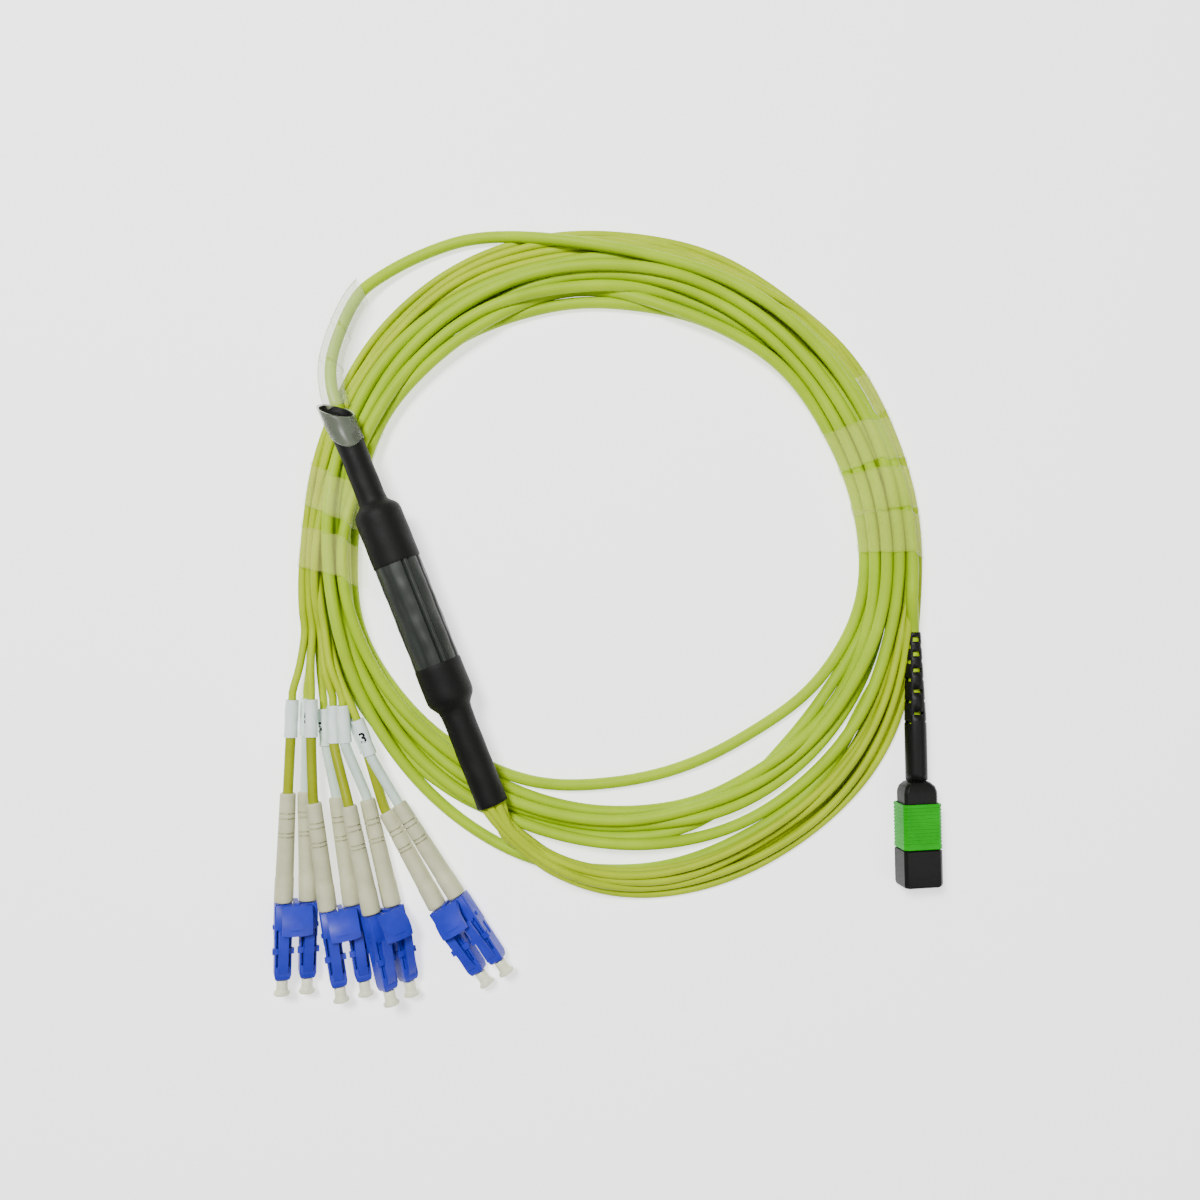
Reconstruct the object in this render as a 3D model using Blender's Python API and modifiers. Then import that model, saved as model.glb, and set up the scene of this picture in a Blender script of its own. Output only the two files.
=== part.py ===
"""Fibre breakout cable: a coiled trunk with a multi-fibre plug on one end and, past a breakout body,
eight legs that end in four duplex connectors. It lies on the floor as it was photographed."""

import math

import bmesh
import bpy
from mathutils import Matrix, Vector

MM = 0.001

# Clearances
FIT = 0.0003  # between two meshes that touch
BUTT = 0.0004  # between a boot and the housing that it stands on

# Cables
TRUNK_D = 0.0030
LEG_D = 0.0020

# Coil, measured from its centre
COIL_CENTRE = Vector((0.0015, 0.0130))
COIL_CHAMFER = 0.0011
RAISED = 0.0008  # the coil stands this high inside a wrap
RAISED_MARGIN = 3.0  # and this many degrees past it
SUBDIVISIONS = 3

# Breakout body
MOUTH = Vector((-0.0672, 0.0513, 0.0116))
LOWER_END = Vector((-0.0286, -0.0475, 0.0087))
BREAKOUT_LENGTH = (LOWER_END - MOUTH).length
THIN_UPPER_R = 0.0035
THIN_LOWER_R = 0.00385
CORE_R = 0.0058
FLUTE_COUNT = 12
FLUTE_R = 0.00045
SHRINK_WALL = 0.0006
UPPER_SHOULDER = 0.0255
SHOULDER_RUN = 0.0030
UPPER_CAP_END = 0.0408
LOWER_CAP_START = 0.0680
LOWER_SHOULDER = 0.0773
LEG_BORE_R = 0.0030
LEAD_INSIDE = 0.0120  # the lead's straight stretch inside the mouth
LEAD_STRAIGHT = 0.0025  # and outside it

# Spiral wraps
WRAP_WALL = 0.00045
WRAP_LEFT = (161.0, 184.0)
WRAP_RIGHT = (1.0, 28.0)
WRAP_STEPS = 9
WRAP_SIDES = 12
LEAD_WRAP_R = 0.0029
MOUTH_FLARE_R = 0.0043
MOUTH_WRAP_LENGTH = 0.0090
MOUTH_NECK = 0.0012

# Duplex connectors
PITCH = 0.00625
BODY_SIDE = 0.0045
BODY_LENGTH = 0.0193
NOSE_CHAMFER = 0.0007
FERRULE_R = 0.000625
FERRULE_LENGTH = 0.0028
FERRULE_SINK = 0.0010
LATCH_WIDTH = 0.0024
LATCH_SETBACK = 0.0015  # from the nose to the latch's root
LATCH_ROOT = 0.0028
LATCH_SINK = 0.0004  # the root reaches this far into the body
LATCH_BROW = 0.0009
LATCH_REACH = 0.0114
LATCH_RISE = 0.00235
LATCH_THICKNESS = 0.0006
LUG_WIDTH = 0.0054
LUG_HEIGHT = 0.0011
LUG_LENGTH = 0.0016
LUG_PLACE = 0.0112
BOOT_LENGTH = 0.0278
BOOT_REAR_R = 0.0020
BOOT_FRONT_R = 0.00240
BOOT_COLLAR = 0.0060
BOOT_COLLAR_STEP = 0.0001
BOOT_EDGE = 0.0003
BOOT_EDGE_LENGTH = 0.0008
CAP_R = 0.00145
CAP_FLANGE_R = 0.00205
CAP_LENGTH = 0.0038
CAP_FLANGE_LENGTH = 0.0007
CAP_EDGE = 0.0003
CAP_NECK = 0.0004
TRIGGER_WIDTH = 0.0082
TRIGGER_LENGTH = 0.0080
TRIGGER_RISE = 0.0031
TRIGGER_THICKNESS = 0.0010
TRIGGER_BEND = 0.0034
TRIGGER_BEND_RISE = 0.0022
TRIGGER_HEEL = 0.0012
WEB_LENGTH = 0.0078
WEB_TOP = 0.0008
LABEL_R = 0.00168
LABEL_LENGTH = 0.0096
STRAIGHT_RUN = 0.0020  # of a leg on both sides of its label
BOOT_RUN = 0.0030  # and behind its boot

# Multi-fibre plug
PLUG_START = Vector((0.0787, -0.0042, 0.0046))
PLUG_HEADING = -88.7
PLUG_ROLL = 8.0
PLUG_BOOT_LENGTH = 0.0377
PLUG_BOOT_REAR_R = 0.00185
PLUG_BOOT_FRONT_R = 0.0028
PLUG_BOOT_TAPER = 0.0236
HOUSING_WIDTH = 0.0088
HOUSING_HEIGHT = 0.0064
HOUSING_LENGTH = 0.0235
SHELL_WALL = 0.0004
SHELL_CHAMFER = 0.0007
SLEEVE_START = 0.0436
SLEEVE_LENGTH = 0.0115
PLUG_CAP_FLOOR = 0.0030
PLUG_LEAD_RUN = 0.0020

# One row for each station of the coil: angle, then the inner and outer radius of the innermost turn,
# of the middle turns and of the outer turns with the legs, then the height of each, all in mm.
COIL_ROWS = (
    (0.4, (65.2, 67.9), (68.2, 72.2), (72.5, 74.4), (5.6, 8.6, 8.0)),
    (1, (65.2, 67.9), (68.2, 72.4), (72.7, 77.0), (5.6, 8.6, 8.0)),
    (15, (65.4, 68.1), (68.4, 72.7), (73.0, 77.7), (5.8, 9.0, 8.4)),
    (30, (65.0, 67.8), (68.1, 73.0), (73.3, 79.4), (5.4, 8.4, 7.6)),
    (45, (65.5, 68.4), (68.7, 74.6), (74.9, 80.9), (4.4, 6.6, 6.0)),
    (60, (65.2, 68.1), (68.4, 75.2), (75.5, 82.7), (3.6, 4.8, 4.6)),
    (75, (65.2, 68.2), (68.5, 75.8), (76.1, 83.7), (3.4, 4.6, 4.5)),
    (90, (66.1, 69.1), (69.4, 77.2), (77.5, 85.7), (3.4, 4.5, 4.5)),
    (105, (66.7, 69.7), (70.0, 78.2), (78.5, 87.2), (3.4, 4.5, 4.4)),
    (120, (67.8, 70.8), (71.1, 78.0), (78.3, 86.2), (3.6, 4.8, 4.6)),
    (135, (69.7, 72.5), (72.8, 78.2), (78.5, 84.4), (4.0, 5.6, 5.2)),
    (150, (69.2, 72.0), (72.3, 76.6), (76.9, 82.2), (4.4, 5.8, 5.6)),
    (160, (67.8, 70.6), (70.9, 75.4), (75.7, 81.3), (4.6, 6.6, 6.4)),
    (184, (66.0, 68.7), (69.0, 73.4), (73.7, 78.6), (4.6, 6.6, 6.4)),
    (187, (65.7, 68.4), (68.7, 73.2), (73.5, 76.7), (4.0, 4.2, 4.2)),
    (195, (64.8, 67.6), (67.9, 72.0), (72.3, 75.3), (3.6, 4.2, 4.2)),
    (210, (62.0, 65.0), (65.3, 70.5), (70.8, 73.9), (3.2, 4.2, 4.2)),
    (225, (60.6, 63.5), (63.8, 70.6), (70.9, 74.2), (3.1, 4.2, 3.8)),
    (240, (58.6, 61.6), (61.9, 70.2), (71.2, 74.4), (3.1, 4.0, 3.2)),
    (255, (56.6, 59.6), (61.3, 72.1), (73.4, 76.5), (3.0, 3.8, 3.1)),
    (265, (55.2, 58.2), (61.9, 73.4), (76.5, 79.6), (3.0, 3.6, 3.1)),
    (269, (54.5, 57.5), (62.2, 73.9), (77.5, 85.1), (3.0, 3.5, 4.4)),
    (285, (52.8, 55.8), (62.8, 74.6), (77.3, 86.0), (3.0, 3.5, 4.4)),
    (300, (52.9, 55.9), (63.4, 76.4), (77.0, 85.2), (3.0, 3.6, 4.4)),
    (315, (56.1, 59.1), (63.2, 75.4), (75.9, 84.6), (3.0, 4.4, 4.6)),
    (330, (60.2, 63.0), (63.4, 73.6), (74.0, 83.1), (3.2, 5.2, 4.8)),
    (345, (63.6, 66.4), (66.7, 71.8), (72.1, 76.8), (4.4, 7.0, 6.0)),
    (353, (64.4, 67.2), (67.5, 71.9), (72.2, 75.2), (5.0, 8.0, 7.2)),
)

# Routes in mm. The lead starts inside the breakout body and ends on top of the coil.
LEAD_ROUTE = (
    (-69.1, 56.3, 10.8),
    (-69.9, 64.3, 7.8),
    (-66.6, 76.0, 4.8),
    (-62.9, 83.0, 3.6),
    (-57.6, 87.6, 2.4),
    (-48.1, 92.9, 1.7),
    (-36.5, 96.9, 1.6),
    (-26.5, 98.3, 3.0),
    (-20.5, 98.0, 5.4),
    (-14.0, 96.6, 6.5),
    (-3.5, 94.4, 6.4),
    (8.0, 92.8, 6.4),
    (21.4, 89.6, 6.4),
    (34.1, 83.0, 6.5),
)
LEAD_WRAP_POINTS = 4
PLUG_LEAD_ROUTE = ((78.3, 13.1, 2.4), (78.4, 8.0, 2.8), (78.5, 2.5, 3.8))
# Station of the fan of legs: radius, angle, height, half width and half depth.
FAN_SIDES = 12
FAN_ROWS = (
    (70.1, 245.8, 8.5, 3.0, 3.0),
    (75.0, 250.0, 7.1, 3.2, 2.4),
    (77.3, 255.0, 5.8, 3.4, 1.9),
    (79.4, 260.0, 5.2, 3.6, 1.6),
    (80.8, 265.0, 5.0, 3.7, 1.5),
)

# Each duplex connector: plan position of its boot seats, heading and roll.
DUPLEXES = {
    "1": ((-79.5, -73.5), -91.0, 20.0),
    "2": ((-68.2, -75.1), -81.3, 18.0),
    "3": ((-57.1, -75.3), -77.5, 43.0),
    "4": ((-40.6, -73.7), -57.0, -13.0),
}

# Each leg: the points down from the coil, its label's two ends, and the rear of its boot.
LEGS = {
    "1a": (
        ((-77.3, 2.0, 7.6), (-79.0, -9.0, 6.5)),
        (-80.2, -21.6, 5.0),
        (-80.6, -31.0, 5.0),
        (-81.3, -46.8, 5.2),
    ),
    "1b": (
        ((-75.7, 2.0, 5.5), (-76.4, -8.0, 4.0)),
        (-77.2, -21.3, 2.0),
        (-77.3, -31.0, 2.0),
        (-77.5, -46.7, 2.4),
    ),
    "2a": (
        ((-74.1, 2.0, 7.6), (-74.7, -9.0, 6.6)),
        (-75.2, -21.3, 5.6),
        (-75.2, -31.0, 5.7),
        (-74.3, -48.6, 6.3),
    ),
    "2b": (
        ((-72.5, 2.0, 5.5), (-72.6, -8.0, 4.9)),
        (-72.8, -24.1, 1.9),
        (-72.2, -33.6, 1.9),
        (-69.2, -48.9, 2.4),
    ),
    "3a": (
        ((-69.3, 2.0, 5.5), (-69.6, -9.0, 5.3)),
        (-69.9, -23.1, 4.2),
        (-69.6, -32.6, 4.5),
        (-65.1, -48.9, 7.2),
    ),
    "3b": (
        ((-70.9, 2.0, 7.8), (-69.0, -9.0, 7.8)),
        (-66.9, -22.8, 6.9),
        (-66.4, -32.2, 6.2),
        (-61.4, -47.7, 2.6),
    ),
    "4a": (
        ((-66.1, 2.0, 5.5), (-65.8, -11.0, 5.6), (-65.4, -18.5, 5.4)),
        (-64.9, -26.2, 3.7),
        (-61.5, -35.2, 2.9),
        (-56.1, -51.6, 2.4),
    ),
    "4b": (
        ((-67.7, 2.0, 7.7), (-65.9, -12.0, 7.9)),
        (-63.2, -26.4, 7.0),
        (-60.0, -35.4, 6.2),
        (-52.4, -49.2, 4.6),
    ),
}

# Colour and roughness of each material
FINISHES = {
    "trunk_jacket": ((0.53, 0.67, 0.05), 0.45),
    "leg_jacket": ((0.66, 0.72, 0.08), 0.45),
    "shrink_tube": ((0.017, 0.017, 0.015), 0.62),
    "breakout_plastic": ((0.045, 0.048, 0.045), 0.25),
    "clear_wrap": ((0.70, 0.76, 0.66), 0.30),
    "connector_blue": ((0.045, 0.115, 0.62), 0.35),
    "boot_grey": ((0.60, 0.60, 0.49), 0.50),
    "cap_white": ((0.68, 0.70, 0.58), 0.40),
    "plug_black": ((0.014, 0.014, 0.012), 0.45),
    "sleeve_green": ((0.02, 0.57, 0.03), 0.40),
    "label_white": ((0.80, 0.82, 0.78), 0.50),
}


def new_collection(name):
    collection = bpy.data.collections.new(name)
    bpy.context.scene.collection.children.link(collection)
    return collection


def make_material(name):
    colour, roughness = FINISHES[name]
    material = bpy.data.materials.new(name)
    material.use_nodes = True
    shader = material.node_tree.nodes["Principled BSDF"]
    shader.inputs["Base Color"].default_value = (*colour, 1.0)
    shader.inputs["Roughness"].default_value = roughness
    shader.inputs["Metallic"].default_value = 0.0
    return material


def add_object(name, data, material, matrix=None):
    obj = bpy.data.objects.new(name, data)
    if not data.materials:
        data.materials.append(material)
    PARTS.objects.link(obj)
    if matrix:
        obj.matrix_world = matrix
    return obj


def mesh_from(bm, name):
    bmesh.ops.recalc_face_normals(bm, faces=bm.faces)
    mesh = bpy.data.meshes.new(name)
    bm.to_mesh(mesh)
    bm.free()
    return mesh


def loft(name, sections, closed):
    """A mesh through sections of equally many points. A closed one joins its last section to its first."""
    bm = bmesh.new()
    rings = [[bm.verts.new(point) for point in section] for section in sections]
    around = len(rings[0])
    pairs = list(zip(rings, rings[1:]))
    if closed:
        pairs.append((rings[-1], rings[0]))
    for here, there in pairs:
        for i in range(around):
            j = (i + 1) % around
            bm.faces.new((here[i], here[j], there[j], there[i]))
    if not closed:
        bm.faces.new(rings[0])
        bm.faces.new(rings[-1])
    return mesh_from(bm, name)


def open_loft(name, sections):
    """A sheet through sections, without end faces, to be thickened by Solidify."""
    bm = bmesh.new()
    rings = [[bm.verts.new(point) for point in section] for section in sections]
    around = len(rings[0])
    for here, there in zip(rings, rings[1:]):
        for i in range(around):
            j = (i + 1) % around
            bm.faces.new((here[i], here[j], there[j], there[i]))
    return mesh_from(bm, name)


def turned(name, profile, material, matrix, steps=16):
    """A turned piece: the profile (radius, height) runs down its outer side from top to bottom."""
    curve_mesh = bpy.data.meshes.new(name)
    points = [(radius, 0.0, height) for radius, height in profile]
    edges = [(i, (i + 1) % len(points)) for i in range(len(points))]
    if profile[0][0] == 0.0 and profile[-1][0] == 0.0:
        edges.pop()
    curve_mesh.from_pydata(points, edges, [])
    obj = add_object(name, curve_mesh, material, matrix)
    screw = obj.modifiers.new("turn", "SCREW")
    screw.steps = steps
    screw.render_steps = steps
    screw.use_merge_vertices = True
    screw.merge_threshold = 1e-6
    return obj


def extruded(name, outline, width):
    """A prism: the outline (up, along) in the YZ plane, of the given width centred on X."""
    bm = bmesh.new()
    verts = [bm.verts.new((-width / 2, up, along)) for up, along in outline]
    face = bm.faces.new(verts)
    grown = bmesh.ops.extrude_face_region(bm, geom=[face])
    moved = [item for item in grown["geom"] if isinstance(item, bmesh.types.BMVert)]
    bmesh.ops.translate(bm, verts=moved, vec=(width, 0.0, 0.0))
    return mesh_from(bm, name)


def box_mesh(name, size, centre):
    bm = bmesh.new()
    bmesh.ops.create_cube(bm, size=1.0)
    bmesh.ops.scale(bm, vec=size, verts=bm.verts)
    bmesh.ops.translate(bm, vec=centre, verts=bm.verts)
    return mesh_from(bm, name)


def combined(name, base, tools):
    """The base mesh after Boolean steps with (operation, mesh) tools, as one mesh."""
    obj = bpy.data.objects.new(name + "_work", base)
    CUTTERS.objects.link(obj)
    helpers = [obj]
    for operation, tool in tools:
        helper = bpy.data.objects.new(name + "_tool", tool)
        CUTTERS.objects.link(helper)
        helpers.append(helper)
        step = obj.modifiers.new(operation.lower(), "BOOLEAN")
        step.operation = operation
        step.object = helper
    graph = bpy.context.evaluated_depsgraph_get()
    mesh = bpy.data.meshes.new_from_object(obj.evaluated_get(graph))
    mesh.name = name
    for helper in helpers:
        bpy.data.objects.remove(helper)
    return mesh


def smooth_points(points, spacing):
    """Points about a spacing apart on a smooth curve through the given ones."""
    padded = [points[0] * 2 - points[1], *points, points[-1] * 2 - points[-2]]
    found = []
    for before, start, end, after in zip(padded, padded[1:], padded[2:], padded[3:]):
        knots = [0.0]
        for a, b in ((before, start), (start, end), (end, after)):
            knots.append(knots[-1] + math.sqrt((b - a).length))
        steps = max(2, round((end - start).length / spacing))
        for i in range(steps):
            t = knots[1] + (knots[2] - knots[1]) * i / steps
            first = blend(before, start, knots[0], knots[1], t)
            second = blend(start, end, knots[1], knots[2], t)
            third = blend(end, after, knots[2], knots[3], t)
            left = blend(first, second, knots[0], knots[2], t)
            right = blend(second, third, knots[1], knots[3], t)
            found.append(blend(left, right, knots[1], knots[2], t))
    return [*found, points[-1]]


def blend(a, b, at_a, at_b, t):
    return a + (b - a) * ((t - at_a) / (at_b - at_a))


def tube(name, points, diameter, material):
    curve = bpy.data.curves.new(name, "CURVE")
    curve.dimensions = "3D"
    curve.bevel_depth = diameter / 2
    curve.bevel_resolution = 2
    curve.use_fill_caps = True
    spline = curve.splines.new("POLY")
    spline.points.add(len(points) - 1)
    for place, point in zip(spline.points, points):
        place.co = (*point, 1.0)
    return add_object(name, curve, material)


def millimetres(route):
    return [Vector(point) * MM for point in route]


def frame_matrix(origin, along, up):
    """A matrix whose Z runs along the piece and whose Y points to its top."""
    along = along.normalized()
    across = up.cross(along).normalized()
    up = along.cross(across)
    rotation = Matrix((across, up, along)).transposed().to_4x4()
    return Matrix.Translation(origin) @ rotation


def lying_matrix(origin, heading, roll):
    """A piece lying level with its Z at the heading, and its top rolled to its right by the roll."""
    along = Vector((math.cos(math.radians(heading)), math.sin(math.radians(heading)), 0.0))
    level = frame_matrix(origin, along, Vector((0.0, 0.0, 1.0)))
    return level @ Matrix.Rotation(math.radians(-roll), 4, "Z")


def on_coil(radius, angle, height):
    turn = math.radians(angle)
    plan = COIL_CENTRE + Vector((math.cos(turn), math.sin(turn))) * radius
    return Vector((plan.x, plan.y, height))


def coil_stations():
    """Rows of the coil table, filled in between: angle, three (inner, outer) pairs and three heights."""
    stations = []
    for i, row in enumerate(COIL_ROWS):
        following = COIL_ROWS[(i + 1) % len(COIL_ROWS)]
        span = (following[0] - row[0]) % 360
        for step in range(SUBDIVISIONS):
            share = step / SUBDIVISIONS
            angle = row[0] + span * share
            bands = [
                [here + (there - here) * share for here, there in zip(row[1 + k], following[1 + k])]
                for k in range(3)
            ]
            heights = [here + (there - here) * share for here, there in zip(row[4], following[4])]
            stations.append((angle, bands, heights))
    return stations


def coil_base(angle):
    """The coil's underside: raised where a wrap goes round it."""
    for start, end in (WRAP_LEFT, WRAP_RIGHT):
        from_middle = (angle - (start + end) / 2 + 180.0) % 360.0 - 180.0
        if abs(from_middle) < (end - start) / 2 + RAISED_MARGIN:
            return RAISED
    return 0.0


def octagon(angle, inner, outer, low, high, chamfer):
    cut = min(chamfer, 0.35 * (outer - inner), 0.35 * (high - low))
    corners = (
        (inner + cut, low), (outer - cut, low), (outer, low + cut), (outer, high - cut),
        (outer - cut, high), (inner + cut, high), (inner, high - cut), (inner, low + cut),
    )
    return [on_coil(radius, angle, height) for radius, height in corners]


def build_coil():
    stations = coil_stations()
    names = ("trunk_turn_inner", "trunk_turns_middle", "trunk_and_leg_turns_outer")
    for band, name in enumerate(names):
        sections = [
            octagon(
                angle,
                bands[band][0] * MM,
                bands[band][1] * MM,
                coil_base(angle),
                heights[band] * MM,
                COIL_CHAMFER,
            )
            for angle, bands, heights in stations
        ]
        add_object(name, loft(name, sections, True), make_material("trunk_jacket"))


def coil_at(angle):
    """The coil's inner and outer radius and its greatest height at an angle, in metres."""
    for i, row in enumerate(COIL_ROWS):
        following = COIL_ROWS[(i + 1) % len(COIL_ROWS)]
        span = (following[0] - row[0]) % 360
        if (angle - row[0]) % 360 < span:
            share = ((angle - row[0]) % 360) / span
            inner = row[1][0] + (following[1][0] - row[1][0]) * share
            outer = row[3][1] + (following[3][1] - row[3][1]) * share
            height = max(row[4]) + (max(following[4]) - max(row[4])) * share
            return inner * MM, outer * MM, height * MM
    raise ValueError(angle)


def build_coil_wrap(name, angles):
    sections = []
    for step in range(WRAP_STEPS):
        angle = angles[0] + (angles[1] - angles[0]) * step / (WRAP_STEPS - 1)
        inner, outer, height = coil_at(angle)
        sections.append(
            octagon(
                angle, inner - FIT, outer + FIT, RAISED - FIT, height + FIT, COIL_CHAMFER
            )
        )
    obj = add_object(name, open_loft(name, sections), make_material("clear_wrap"))
    thicken(obj, WRAP_WALL)


def thicken(obj, wall):
    """A wall of even thickness on the outer side of an open sheet."""
    solidify = obj.modifiers.new("wall", "SOLIDIFY")
    solidify.thickness = wall
    solidify.offset = 1.0
    solidify.use_even_offset = True


def breakout_matrix():
    return frame_matrix(MOUTH, LOWER_END - MOUTH, Vector((0.0, 0.0, 1.0)))


def breakout_point(distance):
    return MOUTH + (LOWER_END - MOUTH).normalized() * distance


def build_breakout():
    place = breakout_matrix()
    cap_r = CORE_R + FIT + SHRINK_WALL
    lead_bore_r = TRUNK_D / 2 + FIT
    core_start = UPPER_SHOULDER + SHOULDER_RUN
    core_end = LOWER_SHOULDER - FIT
    turned(
        "breakout_shrink_upper",
        (
            (cap_r, UPPER_CAP_END),
            (cap_r, UPPER_SHOULDER + SHOULDER_RUN),
            (THIN_UPPER_R, UPPER_SHOULDER),
            (THIN_UPPER_R, 0.0),
            (lead_bore_r, 0.0),
            (lead_bore_r, core_start - FIT),
            (CORE_R + FIT, core_start - FIT),
            (CORE_R + FIT, UPPER_CAP_END),
        ),
        make_material("shrink_tube"),
        place,
        20,
    )
    turned(
        "breakout_shrink_lower",
        (
            (LEG_BORE_R, BREAKOUT_LENGTH),
            (THIN_LOWER_R, BREAKOUT_LENGTH),
            (THIN_LOWER_R, LOWER_SHOULDER + SHOULDER_RUN),
            (cap_r, LOWER_SHOULDER),
            (cap_r, LOWER_CAP_START),
            (CORE_R + FIT, LOWER_CAP_START),
            (CORE_R + FIT, LOWER_SHOULDER),
            (LEG_BORE_R, LOWER_SHOULDER),
        ),
        make_material("shrink_tube"),
        place,
        20,
    )
    add_object(
        "breakout_core",
        fluted_core(core_start, core_end),
        make_material("breakout_plastic"),
        place,
    )


def fluted_core(start, end):
    """A bar with rounded flutes along it, as one loft of its star-like section."""
    points = 4 * FLUTE_COUNT
    sections = []
    for height in (start, end):
        section = []
        for i in range(points):
            turn = 2 * math.pi * i / points
            radius = CORE_R - FLUTE_R * (1 if i % 4 == 0 else 0)
            section.append((radius * math.cos(turn), radius * math.sin(turn), height))
        sections.append(section)
    return loft("breakout_core", sections, False)


def circle_section(centre, along, radius, sides):
    return oval_section(centre, along, radius, radius, sides)


def oval_section(centre, along, wide, deep, sides):
    place = frame_matrix(centre, along, Vector((0.0, 0.0, 1.0)))
    turns = [2 * math.pi * i / sides for i in range(sides)]
    return [place @ Vector((wide * math.cos(turn), deep * math.sin(turn), 0.0)) for turn in turns]


def build_leads():
    seat = UPPER_SHOULDER + SHOULDER_RUN - 2 * FIT
    inside = [breakout_point(seat), breakout_point(LEAD_INSIDE), MOUTH]
    route = [*inside, breakout_point(-LEAD_STRAIGHT), *millimetres(LEAD_ROUTE)]
    points = smooth_points(route, 2.4 * TRUNK_D)
    tube("trunk_lead", points, TRUNK_D, make_material("trunk_jacket"))
    axis = plug_matrix().col[2].xyz
    seat = PLUG_START - axis * FIT
    behind = seat - axis * PLUG_LEAD_RUN
    route = [*millimetres(PLUG_LEAD_ROUTE), behind, seat]
    tube("plug_lead", smooth_points(route, 2.4 * TRUNK_D), TRUNK_D, make_material("trunk_jacket"))


def build_lead_wrap():
    """The wrap starts over the mouth of the breakout body and goes on round the lead."""
    axis = (LOWER_END - MOUTH).normalized()
    sections = [
        circle_section(breakout_point(MOUTH_WRAP_LENGTH), -axis, THIN_UPPER_R + FIT, WRAP_SIDES),
        circle_section(MOUTH, -axis, MOUTH_FLARE_R, WRAP_SIDES),
        circle_section(breakout_point(-MOUTH_NECK), -axis, LEAD_WRAP_R, WRAP_SIDES),
    ]
    route = [breakout_point(-LEAD_STRAIGHT), *millimetres(LEAD_ROUTE[:LEAD_WRAP_POINTS])]
    points = smooth_points(route, 2.0 * LEAD_WRAP_R)
    for i, point in enumerate(points[1:], 1):
        ahead = points[min(i + 1, len(points) - 1)]
        sections.append(circle_section(point, ahead - points[i - 1], LEAD_WRAP_R, WRAP_SIDES))
    obj = add_object("wrap_lead", open_loft("wrap_lead", sections), make_material("clear_wrap"))
    thicken(obj, WRAP_WALL)


def build_leg_fan():
    end = LOWER_END
    axis = (LOWER_END - MOUTH).normalized()
    centres = [end + axis * FIT, *[on_coil(r * MM, a, z * MM) for r, a, z, _, _ in FAN_ROWS]]
    halves = [(LEG_BORE_R, LEG_BORE_R), *[(w * MM, h * MM) for _, _, _, w, h in FAN_ROWS]]
    sections = []
    for i, (centre, (wide, deep)) in enumerate(zip(centres, halves)):
        along = axis if i == 0 else centres[min(i + 1, len(centres) - 1)] - centres[i - 1]
        sections.append(oval_section(centre, along, wide, deep, FAN_SIDES))
    add_object("leg_fan", loft("leg_fan", sections, False), make_material("leg_jacket"))


def duplex_matrix(duplex):
    """The frame midway between the two boot seats. It is as high as its lower body needs."""
    (x, y), heading, roll = DUPLEXES[duplex]
    lean = math.radians(abs(roll))
    height = BODY_SIDE / 2 * (math.cos(lean) + math.sin(lean)) + PITCH / 2 * math.sin(lean)
    return lying_matrix(Vector((x * MM, y * MM, height)), heading, roll)


def connector_matrix(leg):
    side = -1 if leg[1] == "a" else 1
    return duplex_matrix(leg[0]) @ Matrix.Translation((side * PITCH / 2, 0.0, 0.0))


def connector_body_mesh():
    half = BODY_SIDE / 2
    long_side = BODY_LENGTH - NOSE_CHAMFER
    housing = extruded(
        "housing",
        (
            (-half, 0.0), (-half, long_side), (-half + NOSE_CHAMFER, BODY_LENGTH),
            (half - NOSE_CHAMFER, BODY_LENGTH), (half, long_side), (half, 0.0),
        ),
        BODY_SIDE,
    )
    root = BODY_LENGTH - LATCH_SETBACK
    latch = extruded(
        "latch",
        (
            (half - LATCH_SINK, root),
            (half + LATCH_SINK / 2, root - LATCH_SINK),
            (half + LATCH_BROW, root - LATCH_ROOT / 2),
            (half + LATCH_RISE, root - LATCH_REACH),
            (half + LATCH_RISE - LATCH_THICKNESS, root - LATCH_REACH - LATCH_SINK),
            (half + LATCH_BROW - LATCH_SINK, root - LATCH_ROOT - LATCH_THICKNESS),
            (half - LATCH_SINK, root - LATCH_ROOT),
        ),
        LATCH_WIDTH,
    )
    lugs = box_mesh(
        "lugs", (LUG_WIDTH, LUG_HEIGHT, LUG_LENGTH), (0.0, half - LUG_HEIGHT, LUG_PLACE)
    )
    ferrule = bmesh.new()
    bmesh.ops.create_cone(
        ferrule, cap_ends=True, segments=10, radius1=FERRULE_R, radius2=FERRULE_R,
        depth=FERRULE_LENGTH + FERRULE_SINK,
    )
    centre = BODY_LENGTH + (FERRULE_LENGTH - FERRULE_SINK) / 2
    bmesh.ops.translate(ferrule, vec=(0.0, 0.0, centre), verts=ferrule.verts)
    return combined(
        "connector_body",
        housing,
        (("UNION", latch), ("UNION", lugs), ("UNION", mesh_from(ferrule, "ferrule"))),
    )


def clip_mesh():
    half = BODY_SIDE / 2
    web_width = PITCH - BODY_SIDE - 2 * FIT
    web_top = half + WEB_TOP
    web = extruded(
        "web",
        ((-half, 0.0), (-half, WEB_LENGTH), (web_top, WEB_LENGTH), (web_top, 0.0)),
        web_width,
    )
    top = half + FIT
    tip = top + TRIGGER_RISE + TRIGGER_THICKNESS
    plate = extruded(
        "plate",
        (
            (top, 0.0),
            (top, TRIGGER_HEEL),
            (top + TRIGGER_BEND_RISE, TRIGGER_BEND),
            (top + TRIGGER_RISE, TRIGGER_LENGTH),
            (tip - FIT, TRIGGER_LENGTH + FIT),
            (tip, TRIGGER_LENGTH - FIT),
            (top + TRIGGER_BEND_RISE + TRIGGER_THICKNESS, TRIGGER_BEND),
            (top + TRIGGER_THICKNESS, 0.0),
        ),
        TRIGGER_WIDTH,
    )
    return combined("clip", web, (("UNION", plate),))


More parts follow.
